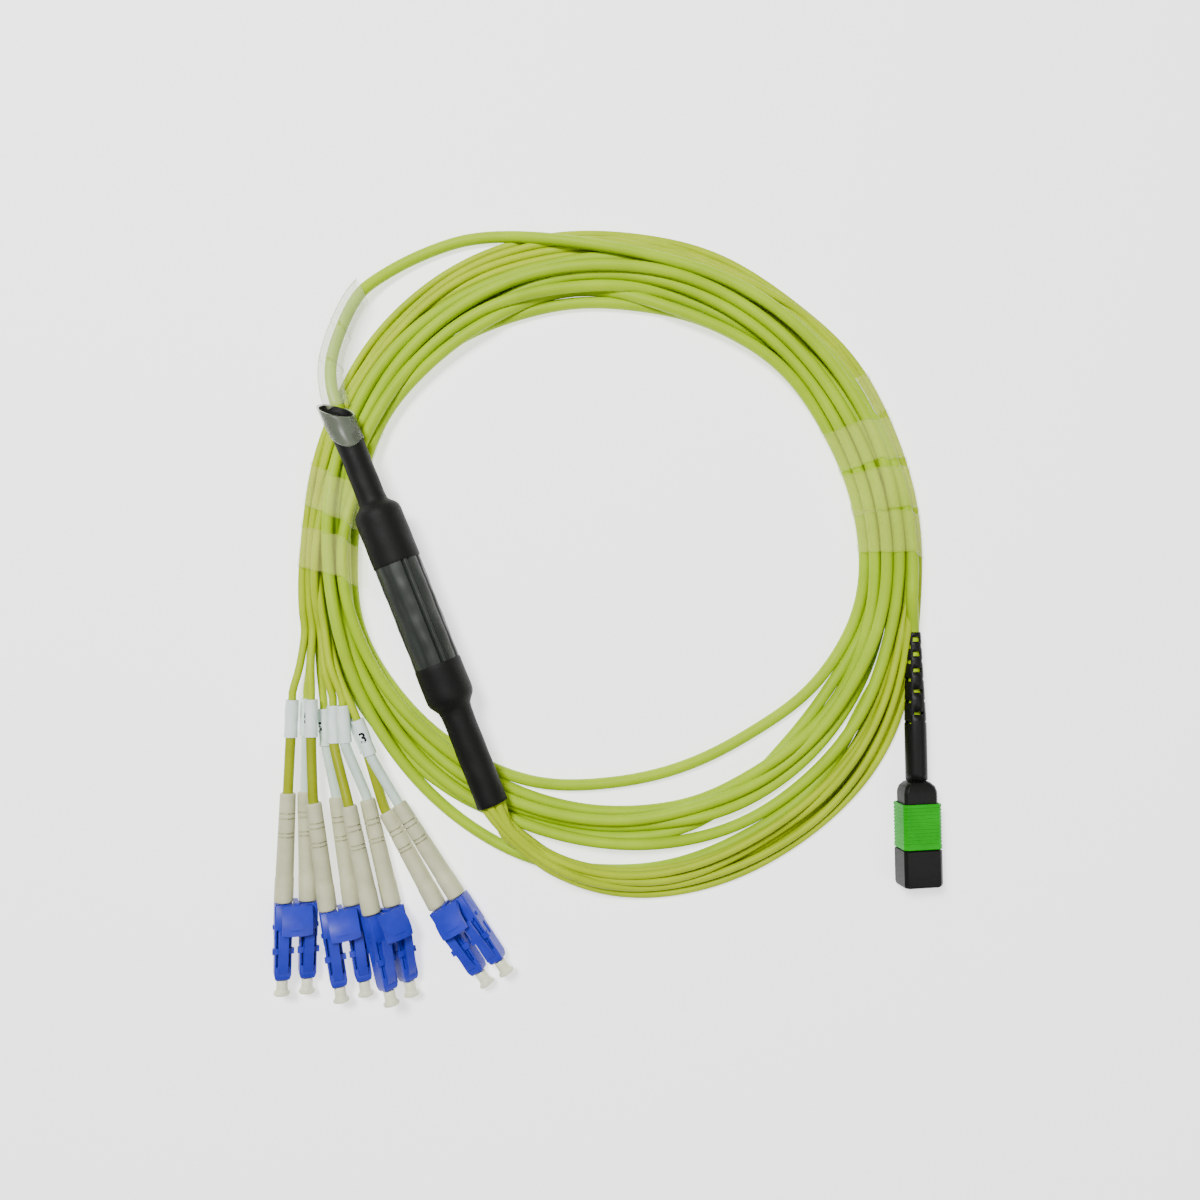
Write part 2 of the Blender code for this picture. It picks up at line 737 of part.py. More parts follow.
def build_duplexes():
    body_mesh = connector_body_mesh()
    bracket = clip_mesh()
    for duplex in DUPLEXES:
        blue = make_material("connector_blue")
        add_object(f"lc_{duplex}_clip", bracket.copy(), blue, duplex_matrix(duplex))
    for leg in LEGS:
        place = connector_matrix(leg)
        add_object(f"lc_{leg}_body", body_mesh.copy(), make_material("connector_blue"), place)
        build_cap(leg, place)
        build_boot(leg, place)


def build_cap(leg, place):
    start = BODY_LENGTH + FIT
    end = start + CAP_LENGTH
    bore_r = FERRULE_R + FIT
    bore_end = start + FERRULE_LENGTH
    turned(
        f"lc_{leg}_cap",
        (
            (0.0, end),
            (CAP_FLANGE_R - CAP_EDGE, end),
            (CAP_FLANGE_R, end - CAP_EDGE),
            (CAP_FLANGE_R, end - CAP_FLANGE_LENGTH),
            (CAP_R, end - CAP_FLANGE_LENGTH - CAP_NECK),
            (CAP_R, start),
            (bore_r, start),
            (bore_r, bore_end),
            (0.0, bore_end),
        ),
        make_material("cap_white"),
        place,
        12,
    )


def boot_matrix(leg, place):
    """The boot leans from its seat on the body towards its leg."""
    seat = place.translation
    rear = Vector(LEGS[leg][3]) * MM
    along = (seat - rear).normalized()
    return frame_matrix(seat - along * BUTT, along, place.col[1].xyz)


def build_boot(leg, place):
    turned(
        f"lc_{leg}_boot",
        (
            (0.0, 0.0),
            (BOOT_FRONT_R, 0.0),
            (BOOT_FRONT_R - BOOT_COLLAR_STEP, -BOOT_COLLAR),
            (BOOT_REAR_R, -BOOT_LENGTH + BOOT_EDGE_LENGTH),
            (BOOT_REAR_R - BOOT_EDGE, -BOOT_LENGTH),
            (0.0, -BOOT_LENGTH),
        ),
        make_material("boot_grey"),
        boot_matrix(leg, place),
        14,
    )


def build_legs():
    for leg, (descent, label_top, label_end, _) in LEGS.items():
        boot = boot_matrix(leg, connector_matrix(leg))
        axis = boot.col[2].xyz
        seat = boot.translation - axis * (BOOT_LENGTH + FIT)
        top = Vector(label_top) * MM
        low = Vector(label_end) * MM
        label_axis = (low - top).normalized()
        route = [
            *millimetres(descent),
            top - label_axis * STRAIGHT_RUN,
            top,
            low,
            low + label_axis * STRAIGHT_RUN,
            seat - axis * BOOT_RUN,
            seat,
        ]
        tube(f"leg_{leg}", smooth_points(route, 2.5 * LEG_D), LEG_D, make_material("leg_jacket"))
        middle = (top + low) / 2
        bore_r = LEG_D / 2 + FIT
        half = LABEL_LENGTH / 2
        turned(
            f"label_{leg}",
            ((bore_r, half), (LABEL_R, half), (LABEL_R, -half), (bore_r, -half)),
            make_material("label_white"),
            frame_matrix(middle, label_axis, Vector((0.0, 0.0, 1.0))),
            12,
        )


def plug_matrix():
    return lying_matrix(PLUG_START, PLUG_HEADING, PLUG_ROLL)


def chamfered_bar(width, height, start, length, chamfer):
    """A bar of rectangular section along Z, with its four long edges chamfered."""
    half_width = width / 2
    half_height = height / 2
    corners = (
        (half_width - chamfer, -half_height), (half_width, -half_height + chamfer),
        (half_width, half_height - chamfer), (half_width - chamfer, half_height),
        (-half_width + chamfer, half_height), (-half_width, half_height - chamfer),
        (-half_width, -half_height + chamfer), (-half_width + chamfer, -half_height),
    )
    sections = [[(x, y, z) for x, y in corners] for z in (start, start + length)]
    return loft("bar", sections, False)


def build_plug():
    place = plug_matrix()
    turned(
        "plug_boot",
        (
            (0.0, PLUG_BOOT_LENGTH),
            (PLUG_BOOT_FRONT_R, PLUG_BOOT_LENGTH),
            (PLUG_BOOT_FRONT_R, PLUG_BOOT_TAPER),
            (PLUG_BOOT_REAR_R, 0.0),
            (0.0, 0.0),
        ),
        make_material("plug_black"),
        place,
        16,
    )
    housing_start = PLUG_BOOT_LENGTH + FIT
    housing = chamfered_bar(
        HOUSING_WIDTH, HOUSING_HEIGHT, housing_start, HOUSING_LENGTH, SHELL_CHAMFER
    )
    add_object("plug_housing", housing, make_material("plug_black"), place)
    bore = (HOUSING_WIDTH + 2 * FIT, HOUSING_HEIGHT + 2 * FIT)
    shell = (bore[0] + 2 * SHELL_WALL, bore[1] + 2 * SHELL_WALL)
    sleeve_hole = chamfered_bar(
        *bore, SLEEVE_START - SHELL_WALL, SLEEVE_LENGTH + 2 * SHELL_WALL, SHELL_CHAMFER
    )
    sleeve = combined(
        "plug_sleeve",
        chamfered_bar(*shell, SLEEVE_START, SLEEVE_LENGTH, SHELL_CHAMFER),
        (("DIFFERENCE", sleeve_hole),),
    )
    add_object("plug_sleeve", sleeve, make_material("sleeve_green"), place)
    cap_start = SLEEVE_START + SLEEVE_LENGTH + FIT
    bore_length = housing_start + HOUSING_LENGTH + FIT - cap_start
    cap_hole = chamfered_bar(
        *bore, cap_start - SHELL_WALL, bore_length + SHELL_WALL, SHELL_CHAMFER
    )
    cap = combined(
        "plug_cap",
        chamfered_bar(*shell, cap_start, bore_length + PLUG_CAP_FLOOR, SHELL_CHAMFER),
        (("DIFFERENCE", cap_hole),),
    )
    add_object("plug_cap", cap, make_material("plug_black"), place)


for leftover in list(bpy.data.objects):
    bpy.data.objects.remove(leftover)
PARTS = new_collection("fibre_breakout_cable")
CUTTERS = new_collection("cutters")
build_coil()
build_coil_wrap("wrap_left", WRAP_LEFT)
build_coil_wrap("wrap_right", WRAP_RIGHT)
build_breakout()
build_leads()
build_lead_wrap()
build_leg_fan()
build_duplexes()
build_legs()
build_plug()
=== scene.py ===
"""The looks of the fibre breakout cable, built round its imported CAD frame."""

import math
from math import cos, pi, radians, sin

import bmesh
import bpy
import numpy as np
from mathutils import Matrix, Vector


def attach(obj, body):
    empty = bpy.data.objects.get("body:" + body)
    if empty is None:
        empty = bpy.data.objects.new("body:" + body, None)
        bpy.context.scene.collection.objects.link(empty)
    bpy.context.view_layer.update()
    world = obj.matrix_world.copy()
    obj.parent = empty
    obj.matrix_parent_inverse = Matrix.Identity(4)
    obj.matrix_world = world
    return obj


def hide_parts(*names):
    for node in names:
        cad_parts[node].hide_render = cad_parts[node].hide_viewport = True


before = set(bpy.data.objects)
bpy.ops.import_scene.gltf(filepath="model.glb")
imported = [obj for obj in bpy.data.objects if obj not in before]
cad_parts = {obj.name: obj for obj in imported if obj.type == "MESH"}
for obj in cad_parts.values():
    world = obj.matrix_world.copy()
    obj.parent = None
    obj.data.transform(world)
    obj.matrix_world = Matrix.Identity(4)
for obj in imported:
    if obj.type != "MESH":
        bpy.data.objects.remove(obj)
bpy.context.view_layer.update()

MM = 0.001
UP = Vector((0.0, 0.0, 1.0))

# Camera, in mm. It looks straight down.
CAMERA = np.array([-1.5, 4.0, 300.0])
SENSOR = 36.0
VIEW_WIDTH = 312.0

# The same driving dimensions as in the part's source
TRUNK_D = 3.0
LEG_D = 2.0
COIL_CENTRE = np.array([1.5, 13.0])
MOUTH = Vector((-67.2, 51.3, 11.6))
LOWER_END = Vector((-28.6, -47.5, 8.7))
AXIS = (LOWER_END - MOUTH).normalized()
PITCH = 6.25
BODY_SIDE = 4.5
BODY_LENGTH = 19.3
BOOT_LENGTH = 27.8
BUTT = 0.4  # a boot's front reaches this far into its connector
FIT = 0.3  # between a connector and its cap
PLUG_START = Vector((78.7, -4.2, 4.6))
PLUG_HEADING = -88.7
PLUG_ROLL = 8.0
# Each duplex: where its rear lies, its heading and its roll in degrees
DUPLEXES = {
    "1": ((-79.5, -73.5), -91.0, 20.0),
    "2": ((-68.2, -75.1), -81.3, 18.0),
    "3": ((-57.1, -75.3), -77.5, 43.0),
    "4": ((-40.6, -73.7), -57.0, -13.0),
}
# Each leg: points down from the coil, its label's two ends, and the rear of its boot
LEGS = {
    "1a": (((-78.5, -13.0, 4.2),), (-80.2, -21.6, 5.0), (-80.6, -31.0, 5.0), (-81.3, -46.8, 5.2)),
    "1b": (((-76.4, -13.0, 2.0),), (-77.2, -21.3, 2.0), (-77.3, -31.0, 2.0), (-77.5, -46.7, 2.4)),
    "2a": (((-75.4, -13.0, 5.4),), (-75.2, -21.3, 5.6), (-75.2, -31.0, 5.7), (-74.3, -48.6, 6.3)),
    "2b": (((-73.7, -14.0, 2.1),), (-72.8, -24.1, 1.9), (-72.2, -33.6, 1.9), (-69.2, -48.9, 2.4)),
    "3a": (((-71.9, -14.0, 4.6),), (-69.9, -23.1, 4.2), (-69.6, -32.6, 4.5), (-65.1, -48.9, 7.2)),
    "3b": (((-69.9, -13.0, 6.9),), (-66.9, -22.8, 6.9), (-66.4, -32.2, 6.2), (-61.4, -47.7, 2.6)),
    "4a": (((-69.6, -15.0, 2.6),), (-64.9, -26.2, 3.7), (-61.5, -35.2, 2.9), (-56.1, -51.6, 2.4)),
    "4b": (((-68.2, -15.0, 6.0),), (-63.2, -26.4, 7.0), (-60.0, -35.4, 6.2), (-52.4, -49.2, 4.6)),
}
# Where each leg leaves the breakout body: across and up
EXITS = {
    "1a": (-2.09, 1.02), "1b": (-0.52, 2.26), "2a": (1.46, 1.80), "3a": (2.32, 0.0),
    "2b": (-2.09, -1.02), "3b": (-0.52, -2.26), "4a": (1.46, -1.80), "4b": (0.0, 0.0),
}
OLIVE_TUBES = ("1a", "2a", "3a", "4a")
# Each label's plain number and the way that it faces, in degrees from straight up
NUMERALS = {
    "1a": ("1", 150.0), "1b": ("2", 140.0), "2a": ("4", -62.0), "2b": ("5", -40.0),
    "3a": ("6", 150.0), "3b": ("7", 140.0), "4a": ("8", 130.0), "4b": ("3", 4.0),
}
# The trunk from the breakout body to the coil
LEAD_ROUTE = (
    (-69.1, 56.3, 8.0), (-69.9, 64.3, 6.6), (-66.6, 76.0, 4.9), (-62.9, 83.0, 3.7),
    (-57.6, 87.6, 2.4), (-48.1, 92.9, 1.7), (-36.5, 96.9, 1.6),
)

# Strand centres: angle, radius from the coil's centre as the camera sees it at READ_HEIGHT, and
# layer. LAYERS gives the heights that the layers start at, and HOLD how firmly a reading holds.
READ_HEIGHT = 3.0
LAYERS = {"t": 6.6, "m": 4.2, "l": 1.5, "v": 1.5}
HOLD = {"t": 0.30, "m": 0.12, "l": 0.04, "v": 0.35}
TRUNK_READINGS = """
108:88.5t 105:87t 100:84.9t 95:83.3t 90:81.8t 85:80.6t 80:79.9t 75:79.7t 60:78.8t 45:77.2t
30:75.7t 15:75m 0:74.2m 350:73.9m 345:73.7t 335:74.5t 325:74.8t 315:74.9t 300:74.7t 290:73.7t
280:72.6t 270:71.6t 260:70.8t 255:70.4t 245:70.2t 230:70t 210:69.8t 200:70t 190:70.4m 180:70.8m
165:72.5m 150:74.4m 145:74.7t 135:76t 120:77.2t 110:77.7t 100:77.6t 90:77.2t 85:77.1t 80:76.9t
75:76.5t 70:76t 60:74.7t 50:73.4t 45:73.1t 35:72t 30:71.6t 15:71.1t 0:70.9t 350:70.5t 340:69.7t
330:68.8t 320:67.9t 310:67.3t 300:66.7t 290:66.1t 270:65.8t 255:65.7t 240:66t 230:66.4t 220:67t
210:67.9m 200:68.8l 190:69.5l 165:70.3m 150:71.3m 145:71.9t 135:72.8t 120:73.5t 110:73.2t
100:72.5t 90:71.8t 75:70.7m 60:70m 45:70.3l 30:70.8l 0:71.2l 345:70.8l 335:70.7m 320:70.5m
310:70.3m 300:69.7m 295:69.3t 290:68.8t 285:68.3t 280:67.6t 270:67m 255:66.9m 240:67.5l 225:68.5l
210:69.2l 195:70l 180:71l 165:72l 150:73l 135:74l 120:74.5m 110:74.8m 100:75.2t 90:75t 85:74.7t
80:74.3t 75:73.8t 60:71.8t 50:70.4t 45:69.7t 30:68.3t 15:67.9t 0:67.7t 350:68t 340:67.6t
330:67.1t 320:66.5t 312:65.9t 300:65.1t 293:64.8t 285:64.1t 270:63.4t 255:63t 245:62.8t 230:63.5t
225:63.9t 220:64.4t 215:65.1t 210:65.8t 205:66.6t 200:67.4t 195:68.1t 190:68.8t 185:69.2t
165:69.5t 150:70.6m 140:70.8m 130:70.4m 100:70.4l 90:69.2l 80:68.3m 75:67.7m 60:67.2m 45:67.6m
35:67.5l 15:66.7l 0:66.6l 350:65.9v 345:64.9v 340:63.2v 335:61.8v 330:60.8v 325:59.5v 320:58.2v
315:56.9v 310:56v 300:55.2v 290:54.9v 280:55.2v 270:55.9v 265:56.6v 257:58v 246:60.1v 240:60.8v
225:62.4v 220:63.1v 210:64.7v 205:65.6v 200:66.4v 195:67.2v 190:67.8v 185:68.2l 165:69.3l
150:70.8v 140:71.3v 130:70.8v 120:69.8v 110:68.8v 100:68.3v 90:67.8v 75:67l 60:67.5l 30:68l
0:67.3l 350:66.4v 345:65.8v 340:65v 335:64.5v 320:64.3v 310:64.8v 305:65.4v 300:66.9v 295:68.6v
290:69.5v 280:69.8l 270:69.7l 255:69l 240:69.3l 225:71l 210:71.3l 195:71.8l 180:72l 165:73.5l
150:74.5l 135:75.5l 105:75l 90:74.5l 75:75.5l 60:75.9l 50:75.2l 30:74.5l 0:75l 345:76.3l
330:76.8l 315:77.2l 300:77.5v 290:78.4v 285:78.8v 280:79v 270:79v 260:78.4v 255:77.9v 250:77.4v
245:76.8v 240:76.2v 235:75.5v 225:74v 215:73.1v 205:72.5v 195:72.3t 185:72.5t 175:73.5t 165:75t
150:77.2t 145:77.7t 135:78.7t 120:79t 110:78.7t 100:79t 90:79.6t 80:79m 60:78.6m 45:78.2m
30:76.9m 20:76.8t 10:77.2t 0:77.5t 355:77.7t 351.5:77.9t"""
LEG_READINGS = {
    "1a": """
247:73t 250:75.5t 255:78.3t 260:80.5m 265:82.5m 270:84m 275:84.9l 280:85.4l 290:85.4l
300:85.2l 310:84.8l 320:83.8l 330:82.3l 335:81.3l 350:77.8l 5:77l 20:77.3l 30:77.9l
40:79.1l 50:79.8l 60:80.6l 70:82l 80:82.8l 90:83.4l 100:84.6l 112:85.6l 120:85.2l 130:83.9l
144:82l 158:80.5m 171:79m 181:79.4m 187:80m 193:80.6m""",
    "1b": """
247:72t 255:77.4t 265:81.3t 275:83.4t 285:84m 300:84.05t 310:84t 317:83.6t 335:80.5m
350:77m 5:76l 20:76.5l 30:77.2l 40:78l 60:79.4l 70:80.6m 80:81.6m 90:83.1m 110:84.5m
120:84.6m 135:82.2m 145:81m 158:78.5m 171:77.6l 181:78l 193:78.9l""",
    "2a": """
247:71.5t 255:76.6t 265:80.2t 275:82t 285:82.3m 300:80.6t 317:80.4t 335:78.4t 350:76l 5:75l
20:75.8l 30:76.5l 40:77.5l 60:78.5l 75:80l 90:81.8l 110:82.4m 120:82.9m 135:80.95t
145:80.2t 158:78.3t 171:77t 181:78t 193:78.6t""",
    "2b": """
247:71.2l 255:77l 265:80.8l 285:83.2l 300:83.9l 317:83.6l 335:80.3l 350:76.5l 5:75l
20:75.5l 40:77.8l 60:79.2l 75:80.8l 90:82.4l 110:84.2l 120:83.2l 135:81.8l 145:80.8l
158:79l 171:78l 181:77l 193:77.3l""",
    "3a": """
247:71t 255:76t 265:79.3t 275:80.2t 285:80.3m 300:79.2t 317:79.2t 335:77.8m 350:75l 5:73.5l
20:74.5l 40:76.5l 60:77.8l 75:79l 90:80.5l 110:81.3m 120:81.2m 135:80m 145:79.2m 158:76.8t
171:76.4t 181:76.2t 193:77t""",
    "3b": """
247:71.5l 255:76.4l 265:79.6l 285:81.3l 300:80.8l 317:80.6l 335:78.5l 350:75l 5:74l
20:74.8l 40:76.8l 60:78.2l 75:79.6l 90:81l 110:82.6l 120:81.6l 135:80.2l 145:79.4l
158:77.5m 171:76.3m 181:75.4t 193:75.6t""",
    "4a": """
247:71l 255:76l 265:79l 285:80.6m 300:79.8m 317:79.8m 335:77.6l 350:74.5l 5:73.5l 20:74l
40:76l 60:77.4l 75:78.4l 90:79.6l 110:81l 120:80.2l 135:79l 145:78.2l 158:76.2l 171:75.2l
181:75l 193:75.4l""",
    "4b": """
247:70.6m 255:75.8m 265:78.6m 285:79.4m 300:79m 317:78.8m 335:77m 350:74l 5:73l 20:73.5l
40:75.5l 60:76.8l 75:77.8l 90:78.8l 110:80l 120:79.4l 135:78.4l 145:77.5l 158:75.4l
171:74.6m 181:74.6m 193:75.2m""",
}
# Laying the strands. Angles are in degrees.
STATION = 3.0
ROUNDS = 600
EARLY_ROUNDS = 0.7 * ROUNDS
SETTLE_ROUNDS = 60
PUSH_APART = 0.35
STIFF_IN_PLAN = 0.05
STIFF_IN_HEIGHT = 0.04
STIFF_AT_LAST = 0.05
FREE = 99.0  # the room above a strand that has nothing over it
# The breakout body's radius by the distance from its mouth
BREAKOUT_ALONG = (-3, 0, 22, 27, 78, 82, 107)
BREAKOUT_RADII = (4.4, 4.4, 3.8, 6.8, 6.8, 4.1, 4.1)
# The wraps hold the strands off the floor here, less and less over a ramp on each side
WRAPPED = ((161.0, 184.0), (1.0, 28.0))
WRAP_LIFT = 0.9
WRAP_RAMP = 6.0
# The legs come down from the breakout body into the coil between these angles
FAN_START = 243.0
FAN_END = 274.0

# Spiral wraps. Knots are (turn, angle of the strip's middle).
WRAP_WALL = 0.25
WRAP_CLEARANCE = 0.12
FACING_STEP = 7.5
MEAN_RADIUS = 72
DEGREES_PER_RADIAN = 57.3
LEFT_WRAP_KNOTS = (
    (-0.5, 154.3), (0.0, 164.4), (0.5, 168.0), (1.0, 175.4), (1.5, 180.6), (1.62, 181.4),
)
LEFT_WRAP_WIDTH = 10.2
# The left wrap's loose end: the turn at which it starts, and how far it ends outward and up
LEFT_WRAP_FLAP = (1.40, -4.6, -2.2)
RIGHT_WRAP_KNOTS = (
    (-0.62, 33.4), (-0.5, 32.4), (0.0, 27.4), (0.5, 23.5), (1.0, 16.6), (1.5, 14.3), (2.0, 8.2),
    (2.5, 5.0), (2.75, 4.4),
)
RIGHT_WRAP_WIDTH = 10.7
LEAD_WRAP_RADIUS = 3.05
# Where each turn of the lead's wrap starts and ends along the lead
LEAD_WRAP_TURNS = ((0.0, 11.6), (11.9, 21.2), (21.5, 32.6))

# Labels, the tubes below them, and the boots, whose radii go by the distance from their rear
LABEL_RADIUS = 1.68
LABEL_BORE = 1.15
LABEL_HALF = 4.8
NUMERAL_RADIUS = 1.76
NUMERAL_SIZE = 3.7
THIN = 0.02
TUBE_D = 2.6
BOOT_GROOVES = (5.1, 6.4, 10.1, 11.1)
BOOT_STEPS = (0.0, 0.15, 0.5, 21.6, 21.8, 27.4, 27.55, 27.8)
BOOT_RADII = (1.72, 1.88, 1.98, 2.28, 2.38, 2.42, 2.4, 2.25)

# The breakout body: turned profiles of (radius, distance from the mouth), and the core's grooves
# as (angle, depth, half width)
SHRINK_SIDES = 48
# The upper tube's first rows close its mouth a little way in with a black disc: painted shade, a
# dark sheet that stands for the shadowed inside of the mouth and hides the trunk there.
UPPER_TUBE = (
    (0.05, 1.6), (2.9, 1.5), (3.15, 0.9), (3.30, 0.2), (3.50, 0.0), (3.62, 0.3), (3.58, 6.0),
    (3.52, 12.0), (3.52, 22.8), (3.66, 24.6), (4.2, 25.3), (5.2, 26.1), (5.78, 26.9), (6.02, 28.0),
    (6.08, 30.0), (6.06, 40.4), (5.98, 40.8), (5.7, 40.85),
)
LOWER_TUBE = (
    (5.7, 67.9), (5.98, 67.95), (6.08, 68.4), (6.08, 75.8), (6.0, 77.0), (5.7, 77.9), (4.9, 79.0),
    (4.3, 79.9), (4.06, 81.2), (3.98, 84.0), (3.96, 96.0), (4.0, 103.0), (4.05, 105.9),
    (3.95, 106.1), (3.5, 106.05), (3.45, 98.0),
)
MOUTH_REACH = 9.0  # the mouth's slant and squeeze fade out over this length
CORE_RADIUS = 5.88
CORE_GROOVES = (
    (68.0, 0.75, 4.5), (52.0, 0.75, 4.5), (110.0, 0.12, 9.0), (20.0, 0.3, 7.0), (150.0, 0.3, 7.0),
    (205.0, 0.5, 6.0), (250.0, 0.5, 6.0), (300.0, 0.5, 6.0), (335.0, 0.3, 6.0),
)


def readings(text, step):
    """Rows of angle, radius, height and hold, with the angle unrolled in the step's direction."""
    rows = []
    for word in text.split():
        angle, rest = word.split(":")
        angle = float(angle)
        while rows and (rows[-1][0] - angle) * step >= 0:
            angle += math.copysign(360.0, step)
        rows.append((angle, float(rest[:-1]), LAYERS[rest[-1]], HOLD[rest[-1]]))
    return np.array(rows)


def sampled(text, step):
    """The readings' columns at each station that the strand passes."""
    rows = readings(text, step)
    first, last = rows[0, 0], rows[-1, 0]
    start = math.floor(first / STATION) if step < 0 else math.ceil(first / STATION)
    angles = np.arange(start * STATION, last + 1e-6 * step, STATION * step)
    known = rows if step > 0 else rows[::-1]
    return [angles, *[np.interp(angles, known[:, 0], known[:, k]) for k in (1, 2, 3)]]


def wrap_lift(angle):
    """How high the strands stand on a wrap that goes round them."""
    lift = 0.0
    for start, end in WRAPPED:
        off = abs((angle - (start + end) / 2 + 180) % 360 - 180) - (end - start) / 2
        lift = max(lift, WRAP_LIFT * min(1.0, max(0.0, 1.0 - off / WRAP_RAMP)))
    return lift


def lay_strands():
    """Settles all strands on each other and the floor, station by station round the coil.
    Returns each strand's angles, radii and heights in mm, and the bundle's section at each
    station."""
    names = ["trunk", *LEG_READINGS]
    tables = [sampled(TRUNK_READINGS, -1), *[sampled(t, 1) for t in LEG_READINGS.values()]]
    starts = np.cumsum([0] + [len(t[0]) for t in tables])
    angle, read, height, hold = (np.concatenate([t[k] for t in tables]) for k in range(4))
    thick = np.concatenate(
        [np.full(len(t[0]), (TRUNK_D if i == 0 else LEG_D) / 2) for i, t in enumerate(tables)]
    )
    count = int(360 / STATION)
    station = np.round((angle % 360) / STATION).astype(int) % count
    members = [np.nonzero(station == k)[0] for k in range(count)]
    width = max(len(m) for m in members)
    table = np.full((count, width), -1)
    for k, found in enumerate(members):
        table[k, : len(found)] = found
    real = table >= 0
    table = np.where(real, table, 0)
    first, second = np.triu_indices(width, 1)
    both = real[:, first] & real[:, second]
    need = thick[table][:, first] + thick[table][:, second]
    outward = np.stack([np.cos(np.radians(angle)), np.sin(np.radians(angle))], 1)
    seen = COIL_CENTRE + read[:, None] * outward
    floor = thick + np.array([wrap_lift(a % 360) for a in angle])
    axis = np.array(AXIS)
    mouth = np.array(MOUTH)

    def place_at(z):
        share = ((CAMERA[2] - z) / (CAMERA[2] - READ_HEIGHT))[:, None]
        return ((CAMERA[:2] + (seen - CAMERA[:2]) * share - COIL_CENTRE) * outward).sum(1)

    def under_breakout(r):
        plan = COIL_CENTRE + r[:, None] * outward
        along = ((plan - mouth[:2]) @ axis[:2]) / (axis[:2] @ axis[:2])
        side = np.linalg.norm(plan - mouth[:2] - along[:, None] * axis[:2], axis=1)
        reach = thick + np.interp(along, BREAKOUT_ALONG, BREAKOUT_RADII)
        below = mouth[2] + along * axis[2] - np.sqrt(np.maximum(reach**2 - side**2, 0))
        covered = (side < reach) & (along > BREAKOUT_ALONG[0]) & (along < BREAKOUT_ALONG[-1])
        return np.where(covered, below, FREE)

    def bend(x):
        out = np.zeros_like(x)
        for a, b in zip(starts, starts[1:]):
            s = x[a:b]
            before = [2 * s[0] - s[2], 2 * s[0] - s[1]]
            after = [2 * s[-1] - s[-2], 2 * s[-1] - s[-3]]
            p = np.concatenate([before, s, after])
            out[a:b] = p[:-4] - 4 * p[1:-3] + 6 * p[2:-2] - 4 * p[3:-1] + p[4:]
        return out

    r, z = place_at(height), height.copy()
    for turn in range(ROUNDS):
        early = turn < EARLY_ROUNDS
        r += (1.0 if early else 0.5) * hold * (place_at(z) - r)
        z -= 0.05 if early else 0.015
        r -= STIFF_IN_PLAN * bend(r)
        z -= STIFF_IN_HEIGHT * bend(z)
        for _ in range(2):
            dr = r[table][:, first] - r[table][:, second]
            dz = z[table][:, first] - z[table][:, second]
            apart = np.sqrt(dr * dr + dz * dz) + 1e-9
            push = np.where(both, np.maximum(need - apart, 0), 0) / apart * PUSH_APART
            for values, part in ((r, push * dr), (z, push * dz)):
                moved = np.zeros(table.shape)
                for q in range(len(first)):
                    moved[:, first[q]] += part[:, q]
                    moved[:, second[q]] -= part[:, q]
                np.add.at(values, table[real], moved[real])
            z = np.maximum(np.minimum(z, np.maximum(under_breakout(r), floor)), floor)
    for _ in range(SETTLE_ROUNDS):
        r -= STIFF_AT_LAST * bend(r)
        z = np.maximum(z - STIFF_AT_LAST * bend(z), floor)
    strands = {n: (angle[a:b], r[a:b], z[a:b]) for n, a, b in zip(names, starts, starts[1:])}
    sections = [(r[m], z[m], thick[m]) for m in members]
    return strands, sections


def on_coil(radius, angle, height):
    turn = radians(angle)
    x, y = COIL_CENTRE
    return Vector((x + radius * cos(turn), y + radius * sin(turn), height))


def smooth_points(points, spacing):
    """Points about a spacing apart on a smooth curve through the given ones."""
    points = [Vector(p) for p in points]
    padded = [points[0] * 2 - points[1], *points, points[-1] * 2 - points[-2]]
    found = []
    for before, start, end, after in zip(padded, padded[1:], padded[2:], padded[3:]):
        knots = [0.0]
        for a, b in ((before, start), (start, end), (end, after)):
            knots.append(knots[-1] + math.sqrt((b - a).length))
        steps = max(1, round((end - start).length / spacing))
        for i in range(steps):
            t = knots[1] + (knots[2] - knots[1]) * i / steps
            one = between(before, start, knots[0], knots[1], t)
            two = between(start, end, knots[1], knots[2], t)
            three = between(end, after, knots[2], knots[3], t)
            left = between(one, two, knots[0], knots[2], t)
            right = between(two, three, knots[1], knots[3], t)
            found.append(between(left, right, knots[1], knots[2], t))
    return [*found, points[-1]]


def between(a, b, at_a, at_b, t):
    return a + (b - a) * ((t - at_a) / (at_b - at_a))


def frame_matrix(origin, along, up):
    """A matrix whose Z runs along the piece and whose Y points to its top."""
    along = along.normalized()
    across = up.cross(along).normalized()
    up = along.cross(across)
    return Matrix.Translation(origin) @ Matrix((across, up, along)).transposed().to_4x4()


def lying_matrix(origin, heading, roll):
    along = Vector((cos(radians(heading)), sin(radians(heading)), 0.0))
    return frame_matrix(origin, along, UP) @ Matrix.Rotation(radians(-roll), 4, "Z")


def duplex_matrix(duplex):
    (x, y), heading, roll = DUPLEXES[duplex]
    lean = radians(abs(roll))
    height = BODY_SIDE / 2 * (cos(lean) + sin(lean)) + PITCH / 2 * sin(lean)
    return lying_matrix(Vector((x, y, height)), heading, roll)


def connector_matrix(leg):
    side = -1 if leg[1] == "a" else 1
    return duplex_matrix(leg[0]) @ Matrix.Translation((side * PITCH / 2, 0.0, 0.0))


def boot_matrix(leg):
    place = connector_matrix(leg)
    seat = place.translation
    along = (seat - Vector(LEGS[leg][3])).normalized()
    return frame_matrix(seat - along * BUTT, along, place.col[1].xyz)


# Materials

GRAIN_DEPTH = 0.00006


def node(tree, kind, **values):
    made = tree.nodes.new(kind)
    for name, value in values.items():
        if name in made.inputs:
            made.inputs[name].default_value = value
        else:
            setattr(made, name, value)
    return made


def srgb(r, g, b):
    return tuple(
        c / 255 / 12.92 if c <= 10 else ((c / 255 + 0.055) / 1.055) ** 2.4 for c in (r, g, b)
    )


